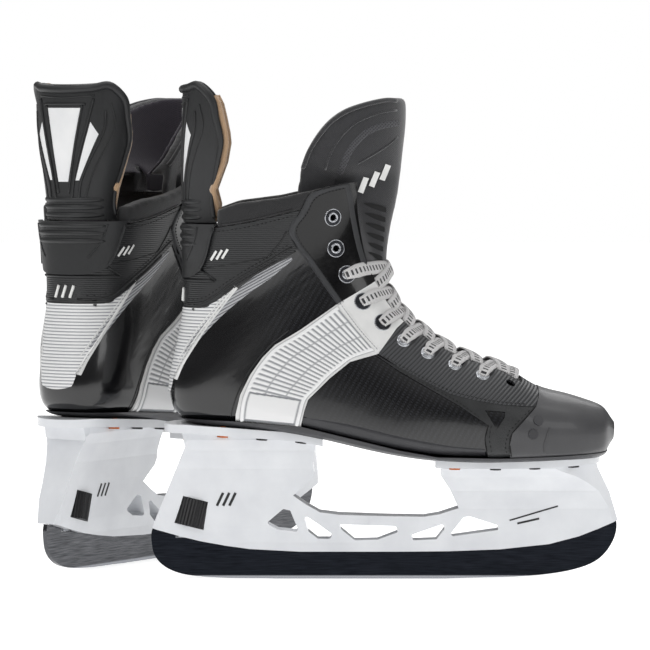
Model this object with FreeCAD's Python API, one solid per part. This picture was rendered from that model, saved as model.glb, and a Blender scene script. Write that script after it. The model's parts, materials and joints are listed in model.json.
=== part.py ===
"""A pair of ice hockey skates: two boots on white blade holders, each with a quick-release runner.

Each skate is modelled once in its own frame, in millimetres: x runs from the heel to the toe, y to
the wearer's left, z up, with the ice at z = 0 and x = 0 at the runner's heel end. The right skate
is built as it is worn, the left one is its mirror image. Both are then placed as a pair, and the
pair's frame has its origin at the middle of its footprint.
"""
import FreeCAD
import Part

import math
import os

Vector = FreeCAD.Vector

# ---- the pair ------------------------------------------------------------------------------------
LEFT_TURN = 55.0  # the left skate's toe points this far to the left of the right one's, in degrees
LEFT_HEEL = (-70.0, 20.0)  # the left runner's heel end, seen from the right one's

# ---- driving sizes of one skate ------------------------------------------------------------------
SHELL = 2.5  # composite quarter shell
LINER = 5.0  # foam liner inside the shell
FIT = 0.3  # gap between pieces that sit against each other
GLUE = 0.1  # gap between pieces that are glued face to face
OVERLAY = 1.4  # synthetic leather panels on the shell
FACING = 1.8  # eyestay facings
CAP = 2.2  # toe cap
SOLE = 3.5  # outsole plate
SOLE_PROUD = 1.6  # the outsole's rim stands out as far as the panels above it
FOOTBED = 4.0
GUARD = 3.4  # tendon guard wall
TONGUE = 11.0  # padded tongue
COLLAR_GUARD = 44.5  # the collar starts in front of the tendon guard
COLLAR_PROUD = 1.6  # how far the padded collar stands out from the shell
THROAT = 21.0  # half the gap between the two rows of facings
THROAT_FIT = 0.8  # tongue to each facing
TONGUE_HALF = 31.0  # half the width of the tongue inside the boot
WING = 4.0  # thickness of the tongue to each side, inside the boot
WING_SWING = 4.5  # room that the folding flap's sides need behind the facings

STEEL = 3.2  # runner thickness
SLOT_GAP = 0.3  # runner to each side of its slot
SEAT_GAP = 0.3  # holder's lower edge above the steel's shoulder
ROOF_GAP = 0.6  # runner's top edge to the roof of its slot
EMBED = 4.0  # how deep the runner sits in its slot

EYELET_HOLE = 2.6
EYELET_BARREL = 3.2
EYELET_FLANGE = 5.2
EYELET_PROUD = 0.7
EYELET_SEAT = 0.25  # an eyelet's flange to its facing
LACE_WIDTH = 8.0
LACE_THICK = 1.2
LACE_PINCH = 4.2  # width where it goes through an eyelet
LACE_LIFT = 0.7  # lace to the tongue and facings under it
LACE_GAP = 0.2  # least room between the lace and what it passes
LACED_FROM = 2  # the two top pairs of eyelets are left open

DIAL_RADIUS = 12.8
DIAL_HEIGHT = 17.6
DIAL_GAP = 0.4
DIAL_CENTRE = Vector(27.0, 0.0, 43.5)
DIAL_LEAN = 14.0  # forward lean of the dial's axis, in degrees
STEM = 3.5  # radius of the pull rod through the dial
STEM_GAP = 0.05

RIVET_HEAD = 3.6
RIVET_HEAD_HEIGHT = 1.3
RIVET_SHANK = 2.0
FLANGE = 3.4  # thickness of the holder's top plates
REAR_FLANGE_HALF = 27.0
FRONT_FLANGE_HALF = 36.0
REAR_RIVETS = [(47.0, 21.0), (72.0, 21.0), (97.0, 21.0)]  # x, and y to each side
FRONT_RIVETS = [(195.0, 29.5), (221.0, 29.5), (246.0, 29.5), (271.0, 25.0)]

HINGE_GAP = 0.8

# The tongue and the tendon guard are upright half tubes: foremost (or rearmost) x, height, half width
TONGUE_SLICES = [(154.0, 184.0, 20.2), (151.6, 204.0, 20.2), (152.8, 218.0, 20.2), (155.0, 231.0, 20.2),
                 (157.8, 243.0, 20.2), (159.6, 254.0, 20.3), (160.3, 259.5, 21.2), (160.9, 265.0, 27.0),
                 (161.6, 272.0, 31.5), (162.6, 281.0, 34.5), (163.6, 290.0, 36.0), (164.0, 303.0, 37.0),
                 (162.6, 318.0, 35.5)]
TONGUE_DEPTH = 64.0
GUARD_SLICES = [(21.6, 222.0, 29.0), (21.4, 236.0, 27.5), (21.0, 252.0, 29.5), (20.6, 270.0, 33.0),
                (20.6, 290.0, 36.0), (21.6, 324.0, 37.0)]
GUARD_DEPTH = 32.0

# The boot is a bent tube: each station is a slice of it from a point on the sole, heel or calf line
# to a point on the toe, instep or shin line. (bottom x, z), (top x, z), half width, sideways shift,
# lower and upper squareness, widest.
STATIONS = [
    ((296.0, 92.0), (296.4, 99.0), 8.0, 6.5, 2.3, 2.3, 0.50),
    ((294.2, 86.5), (294.6, 105.0), 18.5, 6.5, 2.8, 2.3, 0.45),
    ((290.5, 83.6), (290.5, 109.3), 28.0, 6.3, 3.6, 2.4, 0.42),
    ((280.0, 82.3), (280.0, 113.4), 37.0, 5.8, 5.0, 2.5, 0.40),
    ((266.0, 81.8), (266.0, 117.6), 42.5, 5.0, 6.0, 2.5, 0.38),
    ((247.0, 81.4), (248.0, 123.0), 46.0, 3.5, 6.0, 2.4, 0.36),
    ((225.0, 81.0), (227.0, 136.0), 47.5, 2.0, 6.0, 2.3, 0.33),
    ((200.0, 81.0), (205.0, 143.8), 46.0, 1.0, 6.0, 2.3, 0.34),
    ((172.0, 83.0), (187.5, 152.5), 43.0, 0.0, 6.0, 2.3, 0.34),
    ((140.0, 88.5), (173.5, 162.5), 39.5, 0.0, 6.0, 2.4, 0.36),
    ((105.0, 96.0), (162.0, 173.5), 37.0, 0.0, 5.6, 2.5, 0.36),
    ((70.0, 100.3), (154.0, 186.0), 35.5, 0.0, 5.0, 2.6, 0.38),
    ((42.0, 102.2), (149.0, 197.5), 34.5, 0.0, 4.0, 2.7, 0.40),
    ((20.5, 105.5), (145.0, 208.0), 33.5, 0.0, 3.0, 2.8, 0.42),
    ((13.0, 118.0), (142.0, 217.5), 33.0, 0.0, 2.5, 2.9, 0.44),
    ((14.5, 137.0), (139.5, 226.5), 32.5, 0.0, 2.3, 3.0, 0.46),
    ((19.0, 157.0), (137.5, 235.5), 32.5, 0.0, 2.3, 3.0, 0.48),
    ((22.6, 180.0), (135.5, 244.5), 34.0, 0.0, 2.3, 3.0, 0.50),
    ((23.6, 206.0), (134.0, 255.0), 37.5, 0.0, 2.4, 3.0, 0.52),
    ((23.6, 240.0), (132.0, 274.0), 41.5, 0.0, 2.4, 3.0, 0.52),
]
SOLE_STATIONS = 13  # stations whose bottom point is on the sole
SLICE_POINTS = 28
SLICE_LEAST = 6.0  # slices that shrink below this at the toe are left out

# Side view lines of the skate, as (x, z)
SOLE_LINE = [(8, 98.6), (24, 99.2), (55, 97.2), (97, 94.0), (128, 87.4), (160, 81.0), (184, 78.0),
    (224, 77.5),
             (255, 78.3), (300, 80.0)]
SOLE_TOP = [(0, 105.5), (55, 103.8), (97, 100.8), (128, 93.4), (160, 85.9), (184, 81.8), (224, 81.2),
    (255, 82.0),
            (300, 83.6)]
SEAM_LINE = [(0, 226.0), (43, 227.0), (65, 230.8), (92, 237.5), (150, 250.0)]
RIM_LINE = [(0, 231.0), (38, 236.0), (57, 242.8), (84, 246.3), (112, 252.6), (127, 255.6), (160, 257.5)]
EYELETS = [(117.5, 233.7), (119.4, 214.0), (126.4, 197.5), (136.5, 180.3), (149.2, 167.0), (162.6, 155.6),
           (177.8, 147.6), (195.0, 140.0), (212.7, 133.6), (230.5, 128.6)]

CAP_PLUGS = [(247.5, 105.6), (244.2, 97.0)]
PLUG_RADIUS = 3.2

# Panels in side view
UPPER_FACING = [(88.9, 224.2), (104.0, 250.6), (128.0, 257.0), (150.0, 262.0), (160.0, 205.0),
    (142.4, 191.6),
                (120.7, 179.1)]
MIDDLE_FACING = [(120.7, 179.1), (142.4, 191.6), (175.0, 212.0), (185.0, 186.0), (158.0, 163.2),
    (146.2, 147.4)]
LOWER_FACING = [(146.2, 147.4), (158.0, 163.2), (185.0, 186.0), (248.9, 160.0), (248.7, 121.5),
                (246.1, 114.0), (223.0, 115.8), (207.0, 118.5), (191.5, 122.5), (179.0, 128.6),
                (160.0, 138.6)]
TOE_STRAP = [(144.6, 146.5), (160.0, 138.6), (179.0, 128.6), (191.5, 122.5), (207.0, 118.5), (223.0, 115.8),
             (246.4, 114.0), (231.0, 97.5), (229.2, 90.0), (230.5, 70.0), (217.0, 70.0), (215.0, 87.0),
             (213.8, 94.0), (216.0, 102.6), (197.6, 114.9), (178.6, 125.7), (159.7, 136.4)]
STRAP_WINDOW = [(213.5, 112.2), (226.5, 111.2), (226.0, 107.4), (221.0, 100.0)]
TOE_CAP = [(249.5, 140.0), (249.0, 121.5), (246.4, 114.0), (231.0, 97.5), (229.2, 90.0), (230.5, 70.0),
           (310.0, 70.0), (310.0, 140.0)]
ANKLE_PANEL = [(0.0, 175.6), (33.2, 176.2), (42.7, 180.6), (55.4, 190.1), (77.6, 203.5), (94.7, 213.5),
               (88.9, 224.2), (96.8, 238.4), (65.0, 230.7), (43.0, 227.0), (0.0, 226.0)]
HEEL_INSERT = [(0.0, 175.2), (33.4, 175.8), (43.0, 180.2), (56.5, 190.4), (36.0, 164.0), (27.0, 151.0),
               (20.0, 139.5), (15.4, 130.0), (13.6, 122.5), (11.0, 119.5), (0.0, 119.5)]
STRIPE = [(120.7, 179.1), (96.6, 162.4), (80.7, 152.9), (72.5, 144.7), (64.9, 133.9), (58.6, 121.2),
    (55.6, 108.6),
          (55.0, 88.0), (97.0, 84.0), (97.2, 102.4), (99.1, 110.6), (101.6, 118.2), (108.0, 124.5),
          (115.6, 132.1),
          (128.2, 142.3), (146.2, 147.4)]
GUARD_BASE = [(0.0, 192.0), (24.0, 195.0), (29.0, 196.8), (33.2, 200.2), (36.3, 207.9), (39.5, 219.3),
    (42.0, 226.0),
              (42.0, 229.4), (0.0, 229.4)]
GUARD_SIDE = [(0.0, 230.2), (43.0, 230.2), (40.8, 240.0), (41.0, 250.0), (44.6, 268.0), (47.1, 280.0),
    (46.5, 287.0),
              (43.9, 297.0), (42.7, 305.0), (40.1, 311.0), (35.1, 316.8), (30.6, 319.4),
              (22.0, 318.0), (0.0, 317.0)]
SPLIT_LINE = [(0.0, 246.0), (94.5, 246.0), (127.0, 246.0), (158.5, 243.8)]
WIDE_SIDE = [(238.0, 104.0), (238.0, 190.0), (190.0, 300.0), (94.5, 300.0), (94.5, 245.0), (105.0, 200.0),
             (125.0, 168.0), (160.0, 138.0), (205.0, 118.0)]
PAD_SIDE = [(125.0, 190.0), (170.0, 190.0), (170.0, 250.0), (135.0, 262.0), (125.0, 262.0)]
WING_SIDE = [(94.5, 246.0), (140.0, 246.0), (140.0, 264.0), (97.0, 264.0)]
TONGUE_SIDE = [(170.0, 243.8), (158.5, 243.8), (122.0, 246.0), (122.0, 259.0), (96.5, 259.0),
    (97.6, 266.3), (101.5, 276.5),
               (107.9, 286.8), (115.6, 295.0), (125.2, 301.6), (138.1, 306.1), (150.9, 309.4),
               (170.0, 309.0)]
THROAT_SIDE = [(238.0, 104.0), (238.0, 190.0), (190.0, 300.0), (118.0, 300.0), (112.0, 240.0),
    (120.0, 200.0),
               (138.0, 168.0), (170.0, 140.0), (205.0, 120.0)]

RUNNER_EDGE = [(0.6, 24.0), (2.2, 16.0), (7.0, 9.5), (16.0, 4.4), (32.0, 1.4), (56.0, 0.3), (80.0, 0.0)]
RUNNER_TOE = [(190.0, 0.0), (224.7, 0.9), (256.8, 3.1), (276.0, 6.9), (289.0, 13.0), (296.6, 22.0),
    (299.8, 30.0),
              (300.0, 38.0)]
RUNNER_TOP = [(300.0, 38.0), (288.4, 32.8), (275.6, 27.7), (256.4, 22.6), (224.4, 19.2), (192.4, 18.0),
              (160.4, 17.7), (96.4, 17.7), (64.4, 19.4), (48.4, 21.6), (32.4, 24.5), (19.6, 27.7),
              (1.4, 32.8)]
RUNNER_HEEL = (7.0, 288.0)  # where the embedded strip starts and ends
ANCHOR = Vector(272.0, 0.0, 38.0)  # the front hook of the runner, which it turns about when released
HOOK_X = 26.0

HOLDER_FOOT = [(1.0, 33.0)] + RUNNER_TOP[-2:0:-1] + [(300.6, 38.2)]
HOLDER_SIDE = [(22.8, 86.5), (12.0, 60.0)] + [(x, z + SEAT_GAP) for x, z in HOLDER_FOOT] + [
               (295.0, 57.0), (287.0, 73.5), (284.0, 90.0), (186.0, 90.0), (186.6, 68.0),
               (192.4, 59.0), (198.2, 46.4), (186.0, 42.4), (176.4, 40.8), (154.0, 41.1), (122.0, 42.1),
               (109.2, 43.7), (100.2, 48.8), (91.9, 54.6), (103.4, 64.8), (105.4, 69.3), (104.7, 75.7),
               (108.0, 100.0), (20.0, 100.0)]
HOLDER_WINDOWS = [
    [(74.6, 36.6), (85.5, 45.9), (90.0, 45.0), (95.8, 30.9), (82.3, 32.4)],
    [(99.0, 40.4), (101.2, 40.8), (109.2, 35.4), (116.9, 29.6), (116.2, 26.4), (107.9, 26.4), (101.5, 31.5)],
    [(121.4, 36.0), (157.8, 34.7), (159.8, 30.9), (146.3, 25.8), (131.6, 25.4), (122.6, 32.8)],
    [(168.1, 29.0), (187.9, 36.0), (189.8, 33.4), (184.1, 26.0), (168.7, 25.4)],
    [(201.4, 40.5), (205.2, 41.1), (223.1, 35.4), (224.4, 32.2), (194.3, 28.0), (193.0, 29.6)],
]
WINDOW_ROUND = 1.4
HOLDER_SPLIT = 140.0  # between the rear post's cross section and the front post's
REAR_POST = [(6.4, 10.0), (7.0, 24.0), (9.0, 34.0), (10.0, 46.0), (10.6, 58.0), (12.0, 72.0), (15.0, 84.0),
             (18.0, 91.0), (18.0, 110.0)]
BOW = [(-6.0, 6.4), (1.0, 6.6), (6.0, 9.5), (14.0, 13.5), (30.0, 20.0), (60.0, 40.0), (225.0, 40.0),
    (262.0, 24.0),
       (280.0, 17.0), (292.0, 11.0), (301.0, 6.6), (306.0, 6.4)]  # half width of the posts in plan
FRONT_POST = [(6.4, 10.0), (7.0, 24.0), (8.0, 34.0), (9.5, 46.0), (13.0, 58.0), (19.0, 67.0), (25.0, 73.0),
              (25.0, 110.0)]


# ---- small helpers -------------------------------------------------------------------------------
def at(x, z, y=0.0):
    return Vector(x, y, z)


def prism(points, half, y=0.0):
    """A side view outline made as thick as 2 * half across the skate, about y."""
    corners = [at(x, z, y - half) for x, z in points]
    face = Part.Face(Part.makePolygon(corners + corners[:1]))
    return face.extrude(Vector(0, 2 * half, 0))


def curve(points, y=0.0):
    line = Part.BSplineCurve()
    line.interpolate([at(x, z, y) for x, z in points])
    return line.toShape()


def line(start, end, y=0.0):
    return Part.makeLine(at(*start, y), at(*end, y))


def rounded_prism(points, half, radius):
    """Like prism, with each corner of the outline rounded."""
    edges = []
    corners = []
    count = len(points)
    for i, corner in enumerate(points):
        here = at(*corner)
        before = at(*points[i - 1]) - here
        after = at(*points[(i + 1) % count]) - here
        half_turn = before.getAngle(after) / 2
        reach = min(radius / math.tan(half_turn), 0.42 * before.Length, 0.42 * after.Length)
        first = here + before.normalize() * reach
        last = here + after.normalize() * reach
        bulge = (first + last) * 0.5
        depth = reach * math.tan(half_turn) * (1 / math.sin(half_turn) - 1)
        middle = here + (bulge - here).normalize() * depth
        corners.append((first, middle, last))
    for i, (first, middle, last) in enumerate(corners):
        edges.append(Part.Arc(first, middle, last).toShape())
        edges.append(Part.makeLine(last, corners[(i + 1) % count][0]))
    face = Part.Face(Part.Wire(edges))
    face.translate(Vector(0, -half, 0))
    return face.extrude(Vector(0, 2 * half, 0))


def band(points, low, high, half=80.0):
    """The space between a side view line moved up by low and by high."""
    upper = [(x, z + high) for x, z in points]
    lower = [(x, z + low) for x, z in reversed(points)]
    return prism(upper + lower, half)


def above(points, half=80.0, top=400.0):
    return prism([(points[0][0] - 60, points[0][1])] + points + [(points[-1][0] + 200, points[-1][1]),
                 (points[-1][0] + 200, top), (points[0][0] - 60, top)], half)


def power(value, exponent):
    return math.copysign(abs(value) ** exponent, value)


def both_sides(shape):
    return Part.makeCompound([shape, shape.mirror(Vector(0, 0, 0), Vector(0, 1, 0))])


def group(shapes):
    solids = [solid for shape in shapes for solid in shape.Solids]
    return Part.makeCompound(solids)


# ---- the boot's bent tube ------------------------------------------------------------------------
def closed_curve(points):
    """A smooth closed curve through the points; the same number of points gives the same knots."""
    outline = Part.BSplineCurve()
    steps = [float(i) for i in range(len(points) + 1)]
    outline.interpolate(Points=points, Parameters=steps, PeriodicFlag=True)
    return outline


def skinned(curves):
    """The solid whose skin runs smoothly through matching closed curves, with flat ends."""
    rows = [outline.getPoles() for outline in curves]
    places = [0.0]
    for before, after in zip(rows, rows[1:]):
        step = sum((p - q).Length for p, q in zip(before, after)) / len(before)
        places.append(places[-1] + math.sqrt(step))
    ribs = []
    for column in zip(*rows):
        rib = Part.BSplineCurve()
        rib.interpolate(Points=list(column), Parameters=places)
        ribs.append(rib)
    surface = Part.BSplineSurface()
    surface.buildFromPolesMultsKnots([rib.getPoles() for rib in ribs], curves[0].getMultiplicities(),
                                     ribs[0].getMultiplicities(), curves[0].getKnots(), ribs[0].getKnots(),
                                     True, False, curves[0].Degree, ribs[0].Degree)
    ends = [Part.Face(Part.Wire(outline.toShape())) for outline in (curves[0], curves[-1])]
    solid = Part.Solid(Part.Shell([surface.toShape()] + ends))
    solid.fix(1e-3, 1e-3, 1e-2)
    return solid


def boot_slice(index, station, side, sole):
    """One closed slice of the boot, grown by side all round and by sole under the foot."""
    bottom, top, half, shift, low, high, widest = station
    start = at(*bottom)
    end = at(*top)
    along = (end - start).normalize()
    start = start - along * (sole if index < SOLE_STATIONS else side)
    end = end + along * side
    if index == 0:
        start = start + Vector(side, 0, 0)
        end = end + Vector(side, 0, 0)
    length = (end - start).Length
    points = []
    for step in range(SLICE_POINTS):
        turn = 2 * math.pi * step / SLICE_POINTS
        squareness, reach = (low, widest) if turn > math.pi else (high, 1 - widest)
        y = (half + side) * power(math.cos(turn), 2 / squareness)
        rise = (widest + reach * power(math.sin(turn), 2 / squareness)) * length
        points.append(start + along * rise + Vector(0, y + shift, 0))
    return closed_curve(points)


def boot(side, sole=None):
    """The solid inside the boot's surface, grown by side, and by sole under the foot."""
    sole = side if sole is None else sole
    slices = []
    for i, station in enumerate(STATIONS):
        bottom, top, half = station[:3]
        if min(half + side, math.dist(bottom, top) + side + sole) > SLICE_LEAST:
            slices.append(boot_slice(i, station, side, sole))
    return skinned(slices)


def line_hits(start, end, tube):
    """Where a straight line crosses the skin of a tube."""
    surface = max(tube.Faces, key=lambda face: face.Area).Surface
    crossings = Part.LineSegment(start, end).intersectCS(surface)[0]
    return [Vector(point.X, point.Y, point.Z) for point in crossings]


class Boot:
    """The boot's surfaces at the depths that the pieces need, each made once."""

    def __init__(self):
        self.made = {}

    def at(self, side, sole=None):
        key = (side, sole)
        if key not in self.made:
            self.made[key] = boot(side, sole)
        return self.made[key]

    def skin(self, inner, outer):
        key = ("skin", inner, outer)
        if key not in self.made:
            self.made[key] = self.at(outer).cut(self.at(inner))
        return self.made[key]

    def hits(self, start, end, side):
        """Where a straight line crosses the surface."""
        return line_hits(start, end, self.at(side))

    def surface(self, x, z, side, hand):
        """The surface point at a place in side view, on one hand, and its outward normal."""
        def reach(px, pz):
            return max(hand * point.y for point in self.hits(at(px, pz), at(px, pz, 90.0 * hand), side))

        step = 1.5
        slope_x = (reach(x + step, z) - reach(x - step, z)) / (2 * step)
        slope_z = (reach(x, z + step) - reach(x, z - step)) / (2 * step)
        return at(x, z, hand * reach(x, z)), Vector(-slope_x, hand, -slope_z).normalize()


def throat(half):
    return prism(THROAT_SIDE, half)


# ---- boot pieces ---------------------------------------------------------------------------------
def make_boot_pieces(form):
    """The fixed soft and moulded pieces of the boot, by name."""
    seam = above(SEAM_LINE)
    rim = above(RIM_LINE)
    gap = throat(THROAT)
    holes = eyelet_holes(form)
    inner = -SHELL - GLUE
    lining = inner - LINER
    pieces = {}
    pieces["shell"] = form.skin(-SHELL, 0.0).cut(seam).cut(gap).cut(holes)
    pieces["liner"] = form.skin(lining, inner).cut(seam).cut(gap).cut(holes)
    collar = form.skin(lining, COLLAR_PROUD).common(above([(x, z + GLUE) for x, z in SEAM_LINE])).cut(rim)
    behind = prism([(0.0, 200.0), (COLLAR_GUARD, 200.0), (COLLAR_GUARD, 300.0), (0.0, 300.0)], 80.0)
    facing_room = form.skin(-SHELL - GLUE, COLLAR_PROUD + 1.0).common(prism(UPPER_FACING, 80.0))
    pieces["collar"] = collar.cut(gap).cut(behind).cut(facing_room)
    footbed_floor = [(x, z + SOLE + SHELL + LINER + 2 * GLUE) for x, z in SOLE_LINE]
    pieces["footbed"] = form.at(lining - FIT).common(band(footbed_floor, -3.0, FOOTBED))
    sole = form.at(SOLE_PROUD, SOLE).cut(form.at(GLUE)).cut(above(SOLE_TOP))
    pieces["outsole"] = sole

    over_sole = above([(x, z + GLUE) for x, z in SOLE_TOP])
    pieces["toe_cap"] = form.skin(GLUE, CAP).common(over_sole).common(prism(TOE_CAP, 80.0))
    strap = prism(TOE_STRAP, 80.0).cut(prism(STRAP_WINDOW, 80.0))
    overlay = form.skin(GLUE, OVERLAY).common(over_sole)
    facing = form.skin(GLUE, FACING).cut(gap).cut(holes)
    pieces["toe_strap"] = overlay.common(strap).cut(gap)
    pieces["upper_facings"] = facing.common(prism(UPPER_FACING, 80.0)).cut(rim)
    pieces["middle_facings"] = facing.common(prism(MIDDLE_FACING, 80.0))
    pieces["lower_facing"] = facing.common(prism(LOWER_FACING, 80.0))
    pieces["ankle_panel"] = overlay.common(prism(ANKLE_PANEL, 80.0))
    pieces["heel_insert"] = overlay.common(prism(HEEL_INSERT, 80.0))
    pieces["side_stripes"] = overlay.common(prism(STRIPE, 80.0))
    pieces["guard_base"] = form.skin(OVERLAY + GLUE, OVERLAY + 2.0).common(prism(GUARD_BASE, 80.0))
    return pieces


def eyelet_places(form, hand):
    """Each eyelet's seat on one hand's facing, and the facing's outward normal there."""
    return [form.surface(x, z, FACING, hand) for x, z in EYELETS]


def eyelet_holes(form):
    return Part.makeCompound([Part.makeCylinder(EYELET_BARREL, 24.0, seat + normal * 4.0, normal * -1)
                              for hand in (-1, 1) for seat, normal in eyelet_places(form, hand)])


def make_eyelets(form):
    """A flanged barrel through the facing and the shell at each hole."""
    rings = []
    barrel = FACING + SHELL + 1.0
    for seat, normal in eyelet_places(form, -1) + eyelet_places(form, 1):
        foot = seat + normal * EYELET_SEAT
        flange = Part.makeCylinder(EYELET_FLANGE, EYELET_PROUD, foot, normal)
        tube = Part.makeCylinder(EYELET_BARREL - 0.05, barrel, foot, normal * -1)
        bore = Part.makeCylinder(EYELET_HOLE, barrel + 6.0, seat + normal * 3.0, normal * -1)
        rings.append(flange.fuse(tube).cut(bore))
    return group(rings)


def make_cap_plugs(form):
    """Two round plugs in each side of the toe cap."""
    plugs = []
    for hand in (-1, 1):
        for x, z in CAP_PLUGS:
            seat, normal = form.surface(x, z, CAP, hand)
            plugs.append(Part.makeCylinder(PLUG_RADIUS, 1.2, seat - normal * 0.8, normal))
    return group(plugs)


# ---- tongue --------------------------------------------------------------------------------------
def tongue_tube(inset):
    """The tongue as an upright tube of which it keeps the front."""
    slices = []
    for front, z, half in TONGUE_SLICES:
        points = []
        for step in range(SLICE_POINTS):
            turn = 2 * math.pi * step / SLICE_POINTS
            x = front - TONGUE_DEPTH + (TONGUE_DEPTH - inset) * power(math.cos(turn), 0.9)
            y = (half - inset) * power(math.sin(turn), 0.9)
            points.append(Vector(x, y, z))
        slices.append(closed_curve(points))
    return skinned(slices)


def make_lower_tongue(form):
    """The fixed part of the tongue: wide inside the liner, and raised between the facings."""
    depth = -SHELL - LINER - 2 * GLUE - FIT
    half = THROAT - THROAT_FIT
    wide = form.skin(depth - WING, depth).common(prism(WIDE_SIDE, TONGUE_HALF))
    raised = form.skin(depth - WING, -FIT).common(throat(half))
    pad = tongue_tube(0.0).cut(tongue_tube(TONGUE)).common(prism(PAD_SIDE, half))
    split = above([(x, z - HINGE_GAP) for x, z in SPLIT_LINE])
    return wide.fuse([raised, pad]).cut(split)


def make_upper_tongue(form):
    """The padded flap that folds forward over the laces, and the felt on its shin side."""
    felt = 3.0
    side = prism(TONGUE_SIDE, 80.0)
    depth = -SHELL - LINER - WING_SWING
    wings = form.skin(depth - WING, depth).common(prism(WING_SIDE, TONGUE_HALF))
    flap = tongue_tube(0.0).cut(tongue_tube(TONGUE - felt)).common(side).fuse(wings)
    room = form.skin(depth - WING - GLUE, depth + GLUE).common(prism(WING_SIDE, TONGUE_HALF))
    lining = tongue_tube(TONGUE - felt + GLUE).cut(tongue_tube(TONGUE)).common(side).cut(room)
    return flap, lining


# ---- tendon guard --------------------------------------------------------------------------------
def guard_tube(inset):
    """The tendon guard as an upright tube of which it keeps the back."""
    slices = []
    for back, z, half in GUARD_SLICES:
        points = []
        for step in range(SLICE_POINTS):
            turn = 2 * math.pi * step / SLICE_POINTS
            x = back + GUARD_DEPTH + (GUARD_DEPTH - inset) * power(math.cos(turn), 0.85)
            y = (half - inset) * power(math.sin(turn), 0.85)
            points.append(Vector(x, y, z))
        slices.append(closed_curve(points))
    return skinned(slices)


def make_guard():
    """The flexing tendon guard, its three white inserts and its felt lining."""
    side = prism(GUARD_SIDE, 80.0)
    shell = guard_tube(0.0).cut(guard_tube(GUARD)).common(side)
    insert_depth = 1.2
    wedge = [(-13.5, 303), (13.5, 303), (4.0, 255), (-4.0, 255), (-13.5, 303)]
    middle = Part.Face(Part.makePolygon([Vector(-10, y, z) for y, z in wedge])).extrude(Vector(34, 0, 0))
    slit = [(20.0, 294), (24.5, 286), (12.0, 256), (9.5, 256), (20.0, 294)]
    slot = Part.Face(Part.makePolygon([Vector(-10, y, z) for y, z in slit])).extrude(Vector(50, 0, 0))
    zone = group([middle, both_sides(slot)])
    shell = shell.cut(guard_tube(-1.0).cut(guard_tube(insert_depth + GLUE)).common(zone))
    inserts = guard_tube(0.0).cut(guard_tube(insert_depth)).common(zone)
    felt_edge = [(x - 0.5, z + 3.0) if x > 1 else (x, z) for x, z in GUARD_SIDE[:-2]]
    felt_side = prism(felt_edge + [(0.0, 316.0)], 80.0)
    lining = guard_tube(GUARD + GLUE).cut(guard_tube(GUARD + 3.0)).common(felt_side).common(side)
    return shell, inserts, lining


# ---- laces ---------------------------------------------------------------------------------------
def flat_section(centre, across, normal, width):
    """One rectangular slice of the lace, by the direction of its width and its outward normal."""
    a = across * (width / 2)
    n = normal * (LACE_THICK / 2)
    corners = [centre - a - n, centre + a - n, centre + a + n, centre - a + n]
    return Part.makePolygon(corners + corners[:1])


def over_boot(form, side, seat, up, y):
    """How far up the boot's surface reaches over an eyelet's place, at y from the boot's middle."""
    foot = Vector(seat.x, y, seat.z)
    return max(up.dot(point) for point in form.hits(foot - up * 25, foot + up * 60, side))


def over_tongue(form, tube, seat, up, y):
    """The same for the tongue, which is raised above the boot's surface at the ankle."""
    foot = Vector(seat.x, y, seat.z)
    hits = line_hits(foot - up * 25, foot + up * 60, tube)
    raised = [up.dot(point) for point in hits if point.z > PAD_SIDE[0][1]]
    return max(raised + [over_boot(form, -FIT, seat, up, y)])


def faceted(sections):
    """The solid between a row of flat outlines with the same number of corners, in flat triangles."""
    corners = [[vertex.Point for vertex in section.OrderedVertexes] for section in sections]
    faces = [Part.Face(sections[0]), Part.Face(sections[-1])]
    for near, far in zip(corners, corners[1:]):
        for i in range(len(near)):
            j = (i + 1) % len(near)
            for triangle in ((near[i], near[j], far[j]), (near[i], far[j], far[i])):
                faces.append(Part.Face(Part.makePolygon(triangle + triangle[:1])))
    return Part.Solid(Part.Shell(faces))


def make_strand(form, tube, seat, normal, ahead, spread, lift):
    """One flat band from inside an eyelet, over its facing and the tongue, to the facing across."""
    hand = math.copysign(1.0, seat.y)
    up = Vector(-ahead.z, 0, ahead.x)
    across = ahead * hand
    back = normal.cross(across)
    sections = [flat_section(seat - normal * 1.2, across, back, LACE_PINCH),
                flat_section(seat + normal * 2.0, across, (normal + back * 0.9).normalize(), LACE_PINCH)]
    reach = abs(seat.y)
    stops = [0.5 * (reach + THROAT), THROAT - 1.2, 14.0, 7.0, 0.0, -7.0, -14.0, 1.4 - THROAT]
    for stop in stops:
        place = seat + ahead * (spread * (reach - stop) / (reach + THROAT))
        y = hand * stop
        under = [place + across * (LACE_WIDTH / 2 * share) for share in (-1, 0, 1)]
        height = max(over_boot(form, FACING, spot, up, y) for spot in under) if stop > 0.9 * THROAT else 0.0
        if stop > reach - EYELET_FLANGE:
            height += EYELET_SEAT + EYELET_PROUD
        if stop < THROAT:
            height = max([height] + [over_tongue(form, tube, spot, up, y) for spot in under])
        crossing = lift if abs(stop) < THROAT - 2 else 0.0
        middle = Vector(place.x, y, place.z)
        middle = middle + up * (height - up.dot(middle) + LACE_THICK / 2 + LACE_LIFT + crossing)
        tilt = (up + Vector(0, hand, 0) * (0.55 * stop / reach)).normalize()
        width = LACE_WIDTH if stop < reach * 0.9 else LACE_PINCH
        sections.append(flat_section(middle, across, tilt, width))
    return faceted(sections)


def eyelet_room(seat, normal):
    """The space that an eyelet takes up above its facing, with a little to spare."""
    top = EYELET_SEAT + EYELET_PROUD + LACE_GAP
    depth = 5.0
    room = Part.makeCylinder(EYELET_FLANGE + LACE_GAP, depth, seat + normal * (top - depth), normal)
    return room.cut(Part.makeCylinder(EYELET_HOLE - LACE_GAP, depth + 2, seat + normal * (top - depth - 1), normal))


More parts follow.
